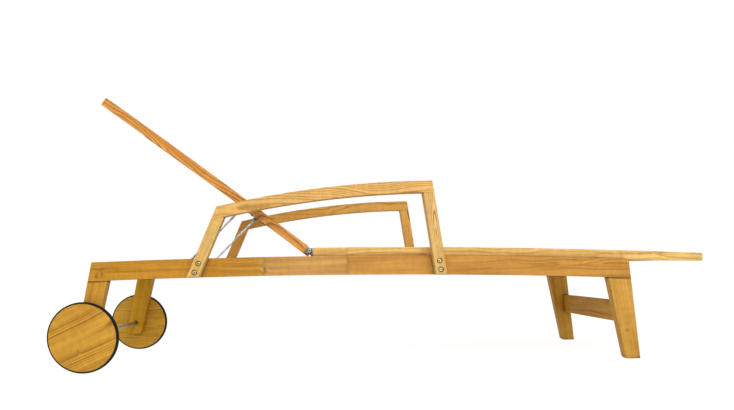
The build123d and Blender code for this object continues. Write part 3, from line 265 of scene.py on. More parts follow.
def oiled_teak(name, tones, along, face, origin, seed, pitch=0.0, knots=(), seams=(), ring=7.0, contrast=0.5,
               wander=1.0, shades=(), richness=(), shoulder=None):
    """Oiled teak: sawn boards, planed and sanded, rubbed with oil.

    The eye sees honey to amber wood, darker rings that run along the board and close into arches where the
    saw left the pith, fine dark pores along the grain, and a soft sheen that the oil leaves on the fibres.
    along is the grain, face runs across the board's broad face, pitch is the step from board to board, knots
    are (along, face, radius) and seams are glued end joints, all in metres. ring is the width of a ring in
    millimetres, wander is how far the grain strays, shades are (place along, brightness) pairs, and richness
    the same for the strength of the colour. shoulder is the level at x = 0 and the slope of a joint at the
    board's upper end, under which the wood is drawn darker.
    """
    wood = bpy.context.scene.lounger_wood
    material, add = new_material("oiled_teak_" + name)
    local = add("ShaderNodeTexCoord").outputs["Object"]
    offset = add("ShaderNodeVectorMath", local, origin, operation="SUBTRACT")
    a, f, d = (
        add("ShaderNodeVectorMath", offset, axis, operation="DOT_PRODUCT").outputs["Value"]
        for axis in (along, face, along.cross(face))
    )

    # Each board of a row, and each stretch between two seams, is cut from another part of the log
    board = add("ShaderNodeMath", f, 1 / pitch if pitch else 0.0, 0.5, operation="MULTIPLY_ADD")
    board = add("ShaderNodeMath", board, operation="FLOOR")
    for seam in seams:
        beyond = add("ShaderNodeMath", a, seam, operation="GREATER_THAN")
        board = add("ShaderNodeMath", board, beyond, operation="ADD")
    board = add("ShaderNodeMath", board, seed, operation="ADD")
    chance = add("ShaderNodeTexWhiteNoise", inputs={"W": board}, noise_dimensions="1D").outputs["Color"]
    luck = add("ShaderNodeSeparateXYZ", chance).outputs
    if pitch:
        row = add("ShaderNodeMath", f, pitch, operation="DIVIDE")
        row = add("ShaderNodeMath", row, operation="ROUND")
        f = add("ShaderNodeMath", row, -pitch, f, operation="MULTIPLY_ADD")
    cut = add("ShaderNodeMath", board, BOARD_STEP, operation="MULTIPLY")
    log = (add("ShaderNodeMath", a, cut, operation="ADD"), f, d)
    fine, fibre, pores, streak, cloud, ripple, group = (
        grain_noise(add, log, *pattern) for pattern in (WANDER, FIBRE, PORES, STREAK, CLOUD, RIPPLE, GROUP)
    )
    pores = add("ShaderNodeMapRange", pores, *PORE_LEVELS, 0.0, 1.0)

    # In years of slow growth the rings lie closer than in years of fast growth
    reach, heart = ring_distance(add, (a, f, d), log, cut, luck, fine, knots, wander)
    growth_at = add("ShaderNodeMath", reach, 1 / GROWTH_WIDTH, operation="MULTIPLY")
    growth = add(
        "ShaderNodeTexNoise", inputs={"W": growth_at, "Scale": 1.0, "Detail": 1.0}, noise_dimensions="1D",
    )
    years = add("ShaderNodeMath", reach, ring * MM * wood.ring_scale, operation="DIVIDE")
    rings = add("ShaderNodeMath", growth, GROWTH_SHIFT * ring, years, operation="MULTIPLY_ADD")
    rings = add("ShaderNodeMath", rings, operation="FRACT")

    # Rings stand out in groups, with calmer wood between them
    pale, body, late = tones
    tone = add("ShaderNodeValToRGB", rings, stops=(
        (0.0, body), (0.2, pale), (0.66, body), (0.88, late), (0.95, late), (1.0, body),
    ))
    plain = add("ShaderNodeValToRGB", streak, stops=((0.25, pale), (0.55, body), (1.0, late)))
    strength = add("ShaderNodeMapRange", group, *GROUP_LEVELS, CALM_RINGS, 1.0)
    strength = add("ShaderNodeMath", strength, contrast * wood.ring_contrast, operation="MULTIPLY")
    colour = add("ShaderNodeMix", strength, inputs={6: plain, 7: tone}, data_type="RGBA").outputs[2]

    # Light and dark: fibres, soft clouds, cross ripple, pores, chance, knots, seams and joints
    shade = sway(add, 1.0, fibre, FIBRE_SHADE)
    shade = sway(add, shade, cloud, CLOUD_SHADE)
    shade = sway(add, shade, ripple, RIPPLE_SHADE)
    shade = add("ShaderNodeMath", pores, -PORE_SHADE, shade, operation="MULTIPLY_ADD")
    shade = sway(add, shade, luck[2], BOARD_SHADE)
    if knots:
        shade = add("ShaderNodeMath", heart, -KNOT_SHADE, shade, operation="MULTIPLY_ADD")
    for seam in seams:
        off = add("ShaderNodeMath", a, seam, operation="SUBTRACT")
        off = add("ShaderNodeMath", off, operation="ABSOLUTE")
        line = add("ShaderNodeMath", off, SEAM_LINE, operation="LESS_THAN")
        shade = add("ShaderNodeMath", line, -SEAM_SHADE, shade, operation="MULTIPLY_ADD")
        darkening = add("ShaderNodeMapRange", off, 0.0, SEAM_REACH, SEAM_STAIN, 0.0)
        darkening = add("ShaderNodeMath", darkening, streak, operation="MULTIPLY")
        shade = add("ShaderNodeMath", shade, darkening, operation="SUBTRACT")
    shade = follow_profile(add, a, shades, shade)
    # A darker band just under the joint at the board's upper end
    if shoulder:
        level, slope = shoulder
        axes = add("ShaderNodeSeparateXYZ", local).outputs
        height = add("ShaderNodeMath", axes[0], -slope, axes[2], operation="MULTIPLY_ADD")
        low, high = level - SHOULDER_START, level - SHOULDER_END
        darkening = add("ShaderNodeMapRange", height, low, high, 0.0, SHOULDER_SHADE)
        shade = add("ShaderNodeMath", shade, darkening, operation="SUBTRACT")

    # Painted shade: joints and narrow corners are darker, and the wood round them a little
    shade = add("ShaderNodeMath", shade, contact_shade(add, 18 * MM, 0.3), operation="MULTIPLY")
    shade = add("ShaderNodeMath", shade, contact_shade(add, 7 * MM, 0.9), operation="MULTIPLY")

    # The boards differ a little in hue
    hue = sway(add, 0.5, luck[1], 0.01)
    rich = follow_profile(add, a, richness, 1.0)
    colour = add(
        "ShaderNodeHueSaturation", inputs={"Hue": hue, "Saturation": rich, "Value": shade, "Color": colour},
    )

    # The oil lies smoother on hard fibres, and the pores stay open
    rough = add("ShaderNodeMath", fibre, 0.22, wood.roughness - 0.1, operation="MULTIPLY_ADD")
    rough = add("ShaderNodeMath", pores, 0.15, rough, operation="MULTIPLY_ADD")
    relief = add("ShaderNodeMath", rings, 0.25, fibre, operation="MULTIPLY_ADD")
    relief = add("ShaderNodeMath", pores, -0.8, relief, operation="MULTIPLY_ADD")
    bump = add("ShaderNodeBump", inputs={"Strength": 0.35, "Distance": 0.25 * MM, "Height": relief})
    add("ShaderNodeOutputMaterial", add("ShaderNodeBsdfPrincipled", inputs={
        "Base Color": colour, "Roughness": rough, "Normal": bump, "Specular IOR Level": 0.14,
    }))
    return material


@cache
def satin_stainless(name, code="#9a9993", rough=0.34):
    """Satin stainless steel: drawn or turned, then brushed.

    The eye sees a grey metal with fine scratches that break its reflections, and duller patches where hands
    and weather touched it. The real scratches are finer than 0.1 mm, so they are drawn coarser.
    """
    scratch_width, patch_width = 0.96154 * MM, 16.6667 * MM
    material, add = new_material("satin_stainless_" + name)
    place = add("ShaderNodeTexCoord").outputs["Object"]
    scratch = add("ShaderNodeTexNoise", inputs={"Vector": place, "Scale": 1 / scratch_width, "Detail": 4.0})
    patch = add("ShaderNodeTexNoise", inputs={"Vector": place, "Scale": 1 / patch_width, "Detail": 3.0})
    tint = add("ShaderNodeValToRGB", patch, stops=((0.3, "#75736c"), (0.6, code), (0.8, "#c4c3be")))
    # Painted shade: the steel is darker in narrow corners and gaps
    painted_shade = contact_shade(add, 6 * MM, 0.9, 2.0)
    tint = add("ShaderNodeHueSaturation", inputs={"Value": painted_shade, "Color": tint})
    level = add("ShaderNodeMath", scratch, 0.22, rough - 0.11, operation="MULTIPLY_ADD")
    bump = add("ShaderNodeBump", inputs={"Strength": 0.2, "Distance": 0.05 * MM, "Height": scratch})
    add("ShaderNodeOutputMaterial", add("ShaderNodeBsdfPrincipled", inputs={
        "Base Color": tint, "Metallic": 1.0, "Roughness": sway(add, level, patch, 0.16), "Normal": bump,
    }))
    return material


@cache
def brassed_steel():
    """Brass-plated steel bolt heads: turned, plated and a little tarnished.

    The eye sees a dull yellow metal, browner in patches, with painted shade in and round the socket.
    """
    tarnish_width = 4.54545 * MM
    material, add = new_material("brass_plated_steel")
    place = add("ShaderNodeTexCoord").outputs["Object"]
    tarnish = add("ShaderNodeTexNoise", inputs={"Vector": place, "Scale": 1 / tarnish_width, "Detail": 4.0})
    tint = add("ShaderNodeValToRGB", tarnish, stops=((0.32, "#8d7c4c"), (0.52, "#b8a46a"), (0.72, "#d6c692")))
    # Painted shade: the brass is darker in the socket and round the head in its recess
    painted_shade = contact_shade(add, 4 * MM, 0.95, 2.0)
    tint = add("ShaderNodeHueSaturation", inputs={"Value": painted_shade, "Color": tint})
    rough = add("ShaderNodeMath", tarnish, 0.3, 0.2, operation="MULTIPLY_ADD")
    add("ShaderNodeOutputMaterial", add("ShaderNodeBsdfPrincipled", inputs={
        "Base Color": tint, "Metallic": 1.0, "Roughness": rough,
    }))
    return material


@cache
def tyre_rubber():
    """Vulcanised rubber: moulded, matt black, with a dusty bloom.

    The eye sees a near-black band, greyer in patches where dust sits, with a broad weak sheen. The grit of
    the mould is drawn coarser than it is, so that it shows.
    """
    dust_width, grit_width = 22.2222 * MM, 1.11111 * MM
    material, add = new_material("vulcanised_rubber")
    place = add("ShaderNodeTexCoord").outputs["Object"]
    dust = add("ShaderNodeTexNoise", inputs={"Vector": place, "Scale": 1 / dust_width, "Detail": 5.0})
    grit = add("ShaderNodeTexNoise", inputs={"Vector": place, "Scale": 1 / grit_width, "Detail": 2.0})
    tint = add("ShaderNodeValToRGB", dust, stops=((0.35, "#0d0e0f"), (0.6, "#161719"), (0.78, "#262522")))
    rough = add("ShaderNodeMath", dust, 0.3, 0.55, operation="MULTIPLY_ADD")
    bump = add("ShaderNodeBump", inputs={"Strength": 0.3, "Distance": 0.1 * MM, "Height": grit})
    add("ShaderNodeOutputMaterial", add("ShaderNodeBsdfPrincipled", inputs={
        "Base Color": tint, "Roughness": rough, "Normal": bump, "Specular IOR Level": 0.15,
    }))
    return material


@cache
def moulded_nylon():
    """Moulded nylon of the axle bushes.

    The eye sees black with a waxy sheen and a faint mould texture, which is drawn coarser than it is.
    """
    grit_width = 0.90909 * MM
    material, add = new_material("moulded_nylon")
    place = add("ShaderNodeTexCoord").outputs["Object"]
    grit = add("ShaderNodeTexNoise", inputs={"Vector": place, "Scale": 1 / grit_width, "Detail": 2.0})
    tint = add("ShaderNodeValToRGB", grit, stops=((0.3, "#161616"), (0.7, "#262524")))
    rough = add("ShaderNodeMath", grit, 0.2, 0.35, operation="MULTIPLY_ADD")
    bump = add("ShaderNodeBump", inputs={"Strength": 0.2, "Distance": 0.05 * MM, "Height": grit})
    add("ShaderNodeOutputMaterial", add("ShaderNodeBsdfPrincipled", inputs={
        "Base Color": tint, "Roughness": rough, "Normal": bump,
    }))
    return material


def middle_of(node):
    """Centre of a node's box."""
    low, high = (Vector(corner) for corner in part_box(node))
    return (low + high) / 2


def dress_board(node, tones, along, face, seed, origin=None, **figure):
    """Give a node oiled teak, with its figure laid out from the origin or from the node's middle."""
    mesh = frame["nodes"][node].data
    mesh.materials.clear()
    start = middle_of(node) if origin is None else origin
    mesh.materials.append(oiled_teak(node, tones, along, face, start, seed, **figure))


def finish_piece(name, mesh, node, material):
    """Put a new mesh in the scene in place of a node, on the node's body."""
    piece = bpy.data.objects.new(name, mesh)
    bpy.context.scene.collection.objects.link(piece)
    mesh.materials.clear()
    mesh.materials.append(material)
    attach(piece, BODY_OF[node])
    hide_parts(node)


def solid_groups(node):
    """The separate solids of a node, each as an array of its points."""
    bm = bmesh.new()
    bm.from_mesh(frame["nodes"][node].data)
    bmesh.ops.remove_doubles(bm, verts=bm.verts, dist=WELD)
    bm.verts.ensure_lookup_table()
    seen, groups = set(), []
    for start in bm.verts:
        if start.index in seen:
            continue
        seen.add(start.index)
        stack, found = [start], []
        while stack:
            vert = stack.pop()
            found.append(vert.co[:])
            for edge in vert.link_edges:
                other = edge.other_vert(vert)
                if other.index not in seen:
                    seen.add(other.index)
                    stack.append(other)
        groups.append(np.array(found))
    bm.free()
    return groups


def measure_fastener(points):
    """Head's top, outward axis, head's radius and thickness, shank's radius and length of one fastener."""
    middle = (points.max(0) + points.min(0)) / 2
    axis = np.linalg.svd(points - points.mean(0), full_matrices=False)[2][0]
    if np.abs(axis).max() > STRAIGHT:
        axis = np.round(axis)
    t = (points - middle) @ axis
    radial = np.linalg.norm(points - middle - np.outer(t, axis), axis=1)
    head = radial > HEAD_SHARE * radial.max()
    if t[head].mean() < 0:
        axis, t = -axis, -t
    shank = np.median(radial[t < t.min() + SHANK_SHARE * (t.max() - t.min())])
    return {
        "top": Vector(middle + axis * t.max()), "axis": Vector(axis), "radius": float(radial.max()),
        "thick": float(t.max() - t[head].min()), "shank": float(shank), "length": float(t.max() - t.min()),
    }


def lathe(profile, steps=40):
    """A mesh turned around Z from a profile of (radius, height) points; its ends on the axis are closed."""
    bm = bmesh.new()
    rings = []
    for radius, height in profile:
        if radius == 0:
            rings.append([bm.verts.new((0, 0, height))])
            continue
        turns = (2 * math.pi * i / steps for i in range(steps))
        rings.append([bm.verts.new((radius * math.cos(t), radius * math.sin(t), height)) for t in turns])
    for low, high in zip(rings, rings[1:]):
        for i in range(steps):
            j = (i + 1) % steps
            if len(low) == 1:
                bm.faces.new((low[0], high[j], high[i]))
            elif len(high) == 1:
                bm.faces.new((low[i], low[j], high[0]))
            else:
                bm.faces.new((low[i], low[j], high[j], high[i]))
    bmesh.ops.recalc_face_normals(bm, faces=bm.faces)
    mesh = bpy.data.meshes.new("turned")
    bm.to_mesh(mesh)
    bm.free()
    return mesh


def prism(outline, low, high):
    """A closed upright mesh over an outline."""
    bm = bmesh.new()
    lower = [bm.verts.new((x, y, low)) for x, y in outline]
    upper = [bm.verts.new((x, y, high)) for x, y in outline]
    bm.faces.new(lower[::-1])
    bm.faces.new(upper)
    for i in range(len(outline)):
        j = (i + 1) % len(outline)
        bm.faces.new((lower[i], lower[j], upper[j], upper[i]))
    mesh = bpy.data.meshes.new("cutter")
    bm.to_mesh(mesh)
    bm.free()
    return mesh


def cut_away(mesh, cutter):
    """The mesh with the cutter's space taken out."""
    body = bpy.data.objects.new("blank", mesh)
    tool = bpy.data.objects.new("tool", cutter)
    for item in (body, tool):
        bpy.context.scene.collection.objects.link(item)
    modifier = body.modifiers.new("recess", "BOOLEAN")
    modifier.operation = "DIFFERENCE"
    modifier.object = tool
    modifier.solver = "EXACT"
    bpy.context.view_layer.update()
    evaluated = body.evaluated_get(bpy.context.evaluated_depsgraph_get())
    result = bpy.data.meshes.new_from_object(evaluated)
    for item in (body, tool):
        bpy.data.objects.remove(item)
    return result


def hexagon(across):
    """Outline of a hexagon by its width across flats."""
    radius = across / math.sqrt(3)
    return [(radius * math.cos(math.pi * i / 3), radius * math.sin(math.pi * i / 3)) for i in range(6)]


def cross(reach, width):
    """Outline of a cross recess."""
    r, w = reach, width / 2
    return [
        (r, -w), (r, w), (w, w), (w, r), (-w, r), (-w, w),
        (-r, w), (-r, -w), (-w, -w), (-w, -r), (w, -r), (w, -w),
    ]


def fastener_mesh(size, style):
    """One screw, bolt or nut with its head's top at the origin, pointing down."""
    r, t, s, length = size["radius"], size["thick"], size["shank"], size["length"]
    recess = cross(CROSS_REACH * r, CROSS_WIDTH * r)
    if style == "countersunk":
        ease = 0.06 * r
        mesh = lathe(((0, 0), (r - ease, 0), (r, -ease), (s, -t), (s * 0.96, -length + s), (0, -length)))
        return cut_away(mesh, prism(recess, -0.4 * t - 1 * MM, 1 * MM))
    if style == "socket":
        mesh = lathe((
            (0, -0.06 * t), (0.45 * r, -0.06 * t), (0.66 * r, 0), (0.72 * r, -0.05 * t), (0.94 * r, -0.7 * t),
            (r, -0.82 * t), (r, -t), (s, -t), (s, -length), (0, -length),
        ))
        return cut_away(mesh, prism(hexagon(BOLT_SOCKET), -1.3 * t, 1 * MM))
    if style == "nut":
        mesh = lathe((
            (0, 0), (0.86 * r, 0), (r, -0.35 * t), (r, -t), (s, -t), (s, -length), (0, -length),
        ))
        return cut_away(mesh, prism(hexagon(0.9 * s), -3 * MM, 1 * MM))
    mesh = lathe((
        (0, 0), (0.4 * r, -0.04 * t), (0.75 * r, -0.2 * t), (0.93 * r, -0.45 * t), (r, -0.78 * t), (r, -t),
        (s, -t), (s, -0.85 * length), (0, -length),
    ))
    return cut_away(mesh, prism(recess, -0.85 * t, 1 * MM))


def make_fasteners(node, style, material):
    """Detailed fasteners in place of a node's plain ones, each lined up with its own solid."""
    sizes = [measure_fastener(points) for points in solid_groups(node)]
    one = fastener_mesh(sizes[0], style)
    bm = bmesh.new()
    for i, size in enumerate(sizes):
        turn = ALONG_Z.rotation_difference(size["axis"]).to_matrix().to_4x4()
        spin = Matrix.Rotation(math.radians(SCREW_TURN * i), 4, "Z")
        fresh = one.copy()
        fresh.transform(Matrix.Translation(size["top"]) @ turn @ spin)
        bm.from_mesh(fresh)
        bpy.data.meshes.remove(fresh)
    mesh = bpy.data.meshes.new(node + "_detailed")
    bm.to_mesh(mesh)
    bm.free()
    bpy.data.meshes.remove(one)
    smooth_by_angle(mesh)
    finish_piece(node + "_detailed", mesh, node, material)


def smooth_by_angle(mesh):
    """Shade smooth, with sharp edges where the faces turn by more than the smooth angle."""
    mesh.shade_smooth()
    bm = bmesh.new()
    bm.from_mesh(mesh)
    for edge in bm.edges:
        if len(edge.link_faces) == 2 and edge.calc_face_angle() > math.radians(SMOOTH_ANGLE):
            edge.smooth = False
    bm.to_mesh(mesh)
    bm.free()


def make_eased(node, width, material):
    """A copy of a node's solid with its sharp edges broken, in place of the node."""
    bm = bmesh.new()
    bm.from_mesh(frame["nodes"][node].data)
    bmesh.ops.remove_doubles(bm, verts=bm.verts, dist=WELD)
    bmesh.ops.dissolve_limit(bm, angle_limit=math.radians(FLAT_ANGLE), verts=bm.verts, edges=bm.edges)
    pairs = [edge for edge in bm.edges if len(edge.link_faces) == 2]
    sharp = [edge for edge in pairs if edge.calc_face_angle() > math.radians(SHARP_ANGLE)]
    bmesh.ops.bevel(
        bm, geom=sharp, offset=width, offset_type="OFFSET", segments=2, profile=0.5, affect="EDGES",
        clamp_overlap=True,
    )
    bmesh.ops.triangulate(bm, faces=[f for f in bm.faces if len(f.verts) > 4])
    mesh = bpy.data.meshes.new(node + "_eased")
    bm.to_mesh(mesh)
    bm.free()
    smooth_by_angle(mesh)
    finish_piece(node + "_eased", mesh, node, material)


def shoulder_line(node):
    """Level at x = 0 and slope of the joint at the upper end of a leg's outer face."""
    points = [vert.co for vert in frame["nodes"][node].data.vertices]
    outer = max(abs(point.y) for point in points)
    face = [point for point in points if abs(point.y) > outer - FACE_SLACK]
    top = max(point.z for point in face)
    upper = [point for point in face if point.z > top - SHOULDER_RISE]
    low_x, high_x = min(upper, key=lambda point: point.x), max(upper, key=lambda point: point.x)
    slope = (high_x.z - low_x.z) / (high_x.x - low_x.x)
    return low_x.z - slope * low_x.x, slope


def leaning(degrees):
    """Directions along and across a post or leg that leans towards the foot end by an angle."""
    tilt = math.radians(degrees)
    return Vector((math.sin(tilt), 0, math.cos(tilt))), Vector((math.cos(tilt), 0, -math.sin(tilt)))


def row_of(node, along, start):
    """Place of the first slat of a row along a direction from a start, and the step from slat to slat."""
    places = sorted((Vector(points.mean(0)) - start).dot(along) for points in solid_groups(node))
    return places[0], (places[-1] - places[0]) / (len(places) - 1)


def tyre_profile(inner, outer, half, crown, grooves):
    """Section of a tyre: flat side walls, broken shoulders and a crowned tread with fine grooves."""
    shoulder = outer - crown - SHOULDER_DROP
    profile = [(inner, -half), (outer - WALL_DROP, -half), (shoulder, -half + SHOULDER_WIDTH)]
    rib = 2 * (half - TREAD_MARGIN) / (grooves + 1)
    for i in range(grooves + 1):
        start = -half + TREAD_MARGIN + i * rib
        end = start + rib
        for y in (start + GROOVE_LIP, (start + end) / 2, end - GROOVE_LIP):
            profile.append((outer - crown * (y / half) ** 2, y))
        if i < grooves:
            profile.append((outer - GROOVE_DEPTH, end))
    profile += [(shoulder, half - SHOULDER_WIDTH), (outer - WALL_DROP, half), (inner, half), (inner, -half)]
    return profile


def seen_directly(add):
    """One for what the camera sees, also in gloss and through glass, and nothing for light on the object."""
    seen = add("ShaderNodeLightPath").outputs
    direct = add("ShaderNodeMath", seen["Is Glossy Ray"], seen["Is Transmission Ray"], operation="MAXIMUM")
    return add("ShaderNodeMath", seen["Is Camera Ray"], direct, operation="MAXIMUM")


class LoungerWood(PropertyGroup):
    """Settings of the oiled teak"""
    roughness: FloatProperty(
        name="Roughness", description="Mean roughness of the oiled wood", default=0.54, min=0.1, max=1.0,
    )
    ring_contrast: FloatProperty(
        name="Ring contrast", description="How far the growth rings stand out from the plain grain",
        default=1.0, min=0.0, max=1.5,
    )
    ring_scale: FloatProperty(
        name="Ring scale", description="Width of the growth rings against their usual width", default=1.0,
        min=0.2, max=5.0,
    )


class LoungerSteel(PropertyGroup):
    """Settings of the steel fittings"""
    edge: FloatProperty(
        name="Edge", description="Width of the broken edges of the fittings", default=0.4 * MM, unit="LENGTH",
    )


class LoungerWheel(PropertyGroup):
    """Settings of the tyres"""
    groove_count: IntProperty(
        name="Tread grooves", description="Number of fine grooves round each tyre", default=3, min=0, max=8,
    )
    crown: FloatProperty(
        name="Crown", description="Height of the tread's middle over its shoulders", default=0.9 * MM,
        unit="LENGTH",
    )


class LoungerStudio(PropertyGroup):
    """Settings of the floor, the lamps, the sky and the camera"""
    floor_colour: FloatVectorProperty(
        name="Floor", description="Colour of the floor", subtype="COLOR", size=3, default=(0.86, 0.86, 0.86),
        min=0, max=1,
    )
    key_power: FloatProperty(
        name="Key lamp", description="Power of the large lamp over the camera", default=58.0, unit="POWER",
    )
    fill_power: FloatProperty(
        name="Fill lamp", description="Power of the lamp at the head end", default=60.0, unit="POWER",
    )
    sky: FloatProperty(name="Sky", description="Strength of the even light from all around", default=0.55)
    distance: FloatProperty(
        name="Camera distance", description="From the near rail to the camera", default=2.27, unit="LENGTH",
    )
    focal_pixels: FloatProperty(
        name="Focal length", description="Focal length in pixels of a frame 734 wide", default=744.6,
    )


class LoungerOperator(Operator):
    """What all steps share"""
    bl_options = {"REGISTER", "UNDO"}


class LOUNGER_OT_frame(LoungerOperator):
    """Dress the side rails, the cross rails, the legs, the stretcher, the cleats and the racks"""
    bl_idname = "lounger.frame"
    bl_label = "Frame timber"

    def execute(self, context):
        # Places along a side rail are measured from the lounger's middle, at the near rail's level
        level = middle_of("side_rail_right").z
        near_knots = ((-0.859, 0.002, 7 * MM), (-0.843, 0.004, 6 * MM), (-0.346, 0.006, 6 * MM))
        far_knots = ((0.41, -0.01, 8 * MM),)
        for side, y, seed, knots in (("right", -RAIL_Y, 3.0, near_knots), ("left", RAIL_Y, 41.0, far_knots)):
            dress_board(
                "side_rail_" + side, AMBER, ALONG_X, ALONG_Z, seed, (0, y, level), knots=knots,
                seams=(HEAD_SEAM, SEAT_SEAM), contrast=0.45, wander=0.35,
                shades=((-0.95, 0.95), (-0.37, 0.94), (-0.345, 1.07), (0.5, 1.0)),
                richness=(
                    (-0.95, 1.05), (-0.37, 1.03), (-0.345, 0.93), (-0.1, 0.94), (-0.09, 0.98), (0.5, 1.0),
                ),
            )
        for i, node in enumerate(("head_cross_rail", "middle_cross_rail", "foot_cross_rail")):
            dress_board(node, AMBER, ALONG_Y, ALONG_Z, 60.0 + 3 * i)
        dress_board("foot_stretcher", GOLD, ALONG_Y, ALONG_Z, 71.0, shades=((0.0, 1.08),))

        # Each leg with its lean in degrees, its tones, brightness and strength of colour, and its knots
        leg_knots = ((-0.045, 0.0, 5 * MM),)
        left_legs = (("wheel_leg_", 13.1, GOLD, 0.84, 1.04, ()), ("foot_leg_", -8.0, OCHRE, 1.17, 1.0, ()))
        right_legs = (
            ("wheel_leg_", 13.1, GOLD, 0.92, 1.0, ()), ("foot_leg_", -8.0, OCHRE, 1.03, 1.0, leg_knots),
        )
        for i, side, legs in ((0, "left", left_legs), (1, "right", right_legs)):
            for leg, lean, tones, light, rich, knots in legs:
                dress_board(
                    leg + side, tones, *leaning(lean), 80.0 + 7 * i + lean, knots=knots, contrast=0.3,
                    wander=0.5, shades=((0.0, light),), richness=((0.0, rich),),
                    shoulder=shoulder_line(leg + side),
                )
            for node in ("seat_cleat_", "prop_rack_"):
                dress_board(node + side, AMBER, ALONG_X, ALONG_Z, 90.0 + 5 * i)
        dress_board("frame_dowels", HONEY, ALONG_Y, ALONG_Z, 99.0, (0, 0, 0))
        return {"FINISHED"}


class LOUNGER_OT_armrests(LoungerOperator):
    """Dress the arm boards and their posts"""
    bl_idname = "lounger.armrests"
    bl_label = "Armrests"

    def execute(self, context):
        for i, side, board_tones, post_tones in ((0, "right", HONEY, FLAX), (1, "left", SAND, STRAW)):
            dress_board(
                "arm_board_" + side, board_tones, ALONG_X, ALONG_Z, 13.0 + 9 * i, ring=4.2, contrast=0.75,
            )
            # Each post with its lean in degrees, its seed, the width of its rings and how far they stand out
            for post, lean, seed, ring, contrast in (
                ("arm_rear_post_", 24.4, 45.4, 2.8, 0.35),
                ("arm_front_post_", -7.7, 16.3, 3.4, 1.5),
            ):
                dress_board(
                    post + side, post_tones, *leaning(lean), seed + 6 * i, ring=ring, contrast=contrast,
                )
        return {"FINISHED"}


class LOUNGER_OT_seat(LoungerOperator):
    """Dress the seat's side rails, end rails and slats"""
    bl_idname = "lounger.seat"
    bl_label = "Seat"

    def execute(self, context):
        for i, side in enumerate(("right", "left")):
            rail = "seat_side_rail_" + side
            dress_board(
                rail, FLAX, ALONG_X, ALONG_Z, 30.0 + 4 * i, seams=(SEAT_SEAM - middle_of(rail).x,),
                contrast=0.4, ring=4.6, wander=0.5, shades=((0.0, 1.09),),
            )
        first, pitch = row_of("seat_slats", ALONG_X, Vector())
        origin = (first, 0, middle_of("seat_slats").z)
        dress_board("seat_slats", FLAX, ALONG_Y, ALONG_X, 110.0, origin, pitch=pitch)
        for i, rail in enumerate(("seat_head_rail", "seat_foot_rail")):
            dress_board(rail, HONEY, ALONG_Y, ALONG_X, 140.0 + 3 * i)
        return {"FINISHED"}


class LOUNGER_OT_back(LoungerOperator):
    """Dress the back's side rails, end rails, slats and the rail that carries the prop"""
    bl_idname = "lounger.back"
    bl_label = "Back"

    def execute(self, context):
        for i, side in enumerate(("right", "left")):
            dress_board(
                "back_side_rail_" + side, RUSSET, BACK_ALONG, BACK_UP, 50.0 + 5 * i, ring=5.0, contrast=0.8,
            )
        first, pitch = row_of("back_slats", BACK_ALONG, HINGE_AXIS)
        origin = HINGE_AXIS + BACK_ALONG * first
        dress_board("back_slats", FLAX, ALONG_Y, BACK_ALONG, 160.0, origin, pitch=pitch)
        for i, rail in enumerate(("back_foot_rail", "back_head_rail", "prop_rail")):
            dress_board(rail, HONEY, ALONG_Y, BACK_ALONG, 180.0 + 3 * i)
        return {"FINISHED"}


class LOUNGER_OT_fittings(LoungerOperator):
    """Make the hinges, the prop, its brackets, the screws, the bolts and the nuts"""
    bl_idname = "lounger.fittings"
    bl_label = "Steel fittings"

    def execute(self, context):
        steel, rod = satin_stainless("fittings"), satin_stainless("rods", "#c2c1bc", 0.3)
        edge = context.scene.lounger_steel.edge
        for node in (
            "hinge_seat_leaves", "hinge_back_leaves", "hinge_pins", "prop_brackets", "prop_pins", "hub_pins",
        ):
            make_eased(node, edge, steel)
        for node in ("prop_rod_left", "prop_rod_right", "prop_foot_bar"):
            make_eased(node, edge, rod)
        for node in ("cleat_screws", "seat_screws", "rack_screws", "bracket_screws", "hub_screws"):
            make_fasteners(node, "pan", steel)
        for node in ("hinge_seat_screws", "hinge_back_screws"):
            make_fasteners(node, "countersunk", steel)
        make_fasteners("arm_bolts", "socket", brassed_steel())
        make_fasteners("arm_nuts", "nut", brassed_steel())
        return {"FINISHED"}


class LOUNGER_OT_wheels(LoungerOperator):
    """Make the wheels, their tyres, the hubs, the axle and its bushes"""
    bl_idname = "lounger.wheels"
    bl_label = "Wheels"

    def execute(self, context):
        wheel = context.scene.lounger_wheel
        edge = context.scene.lounger_steel.edge
        rubber, steel = tyre_rubber(), satin_stainless("fittings")

        # Each wheel with the turn of its grain in degrees, its seed and its knots
        near_knots = ((-0.028, -0.03, 4 * MM),)
        for side, lean, seed, knots in (("right", 24.0, 7.0, near_knots), ("left", 4.0, 27.0, ())):
            disc, tyre = "wheel_disc_" + side, "tyre_" + side
            tilt = math.radians(lean)
            along = Vector((math.cos(tilt), 0, math.sin(tilt)))
            face = Vector((-along.z, 0, along.x))
            dress_board(disc, GOLD, along, face, seed, knots=knots, ring=7.5, contrast=0.8, wander=0.7)
            disc_low, disc_high = (Vector(corner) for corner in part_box(disc))
            low, high = (Vector(corner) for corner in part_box(tyre))
            inner = (disc_high.z - disc_low.z) / 2 + TYRE_FIT
            outer, half = (high.z - low.z) / 2, (high.y - low.y) / 2
            mesh = lathe(tyre_profile(inner, outer, half, wheel.crown, wheel.groove_count), TYRE_STEPS)
            mesh.transform(Matrix.Translation(middle_of(tyre)) @ Matrix.Rotation(math.radians(90), 4, "X"))
            smooth_by_angle(mesh)
            finish_piece("tyre_treaded_" + side, mesh, tyre, rubber)
            make_eased("wheel_hub_" + side, edge, steel)
        make_eased("axle", edge, satin_stainless("axle", "#a9a69c", 0.4))
        make_eased("axle_bushes", edge, moulded_nylon())
        return {"FINISHED"}


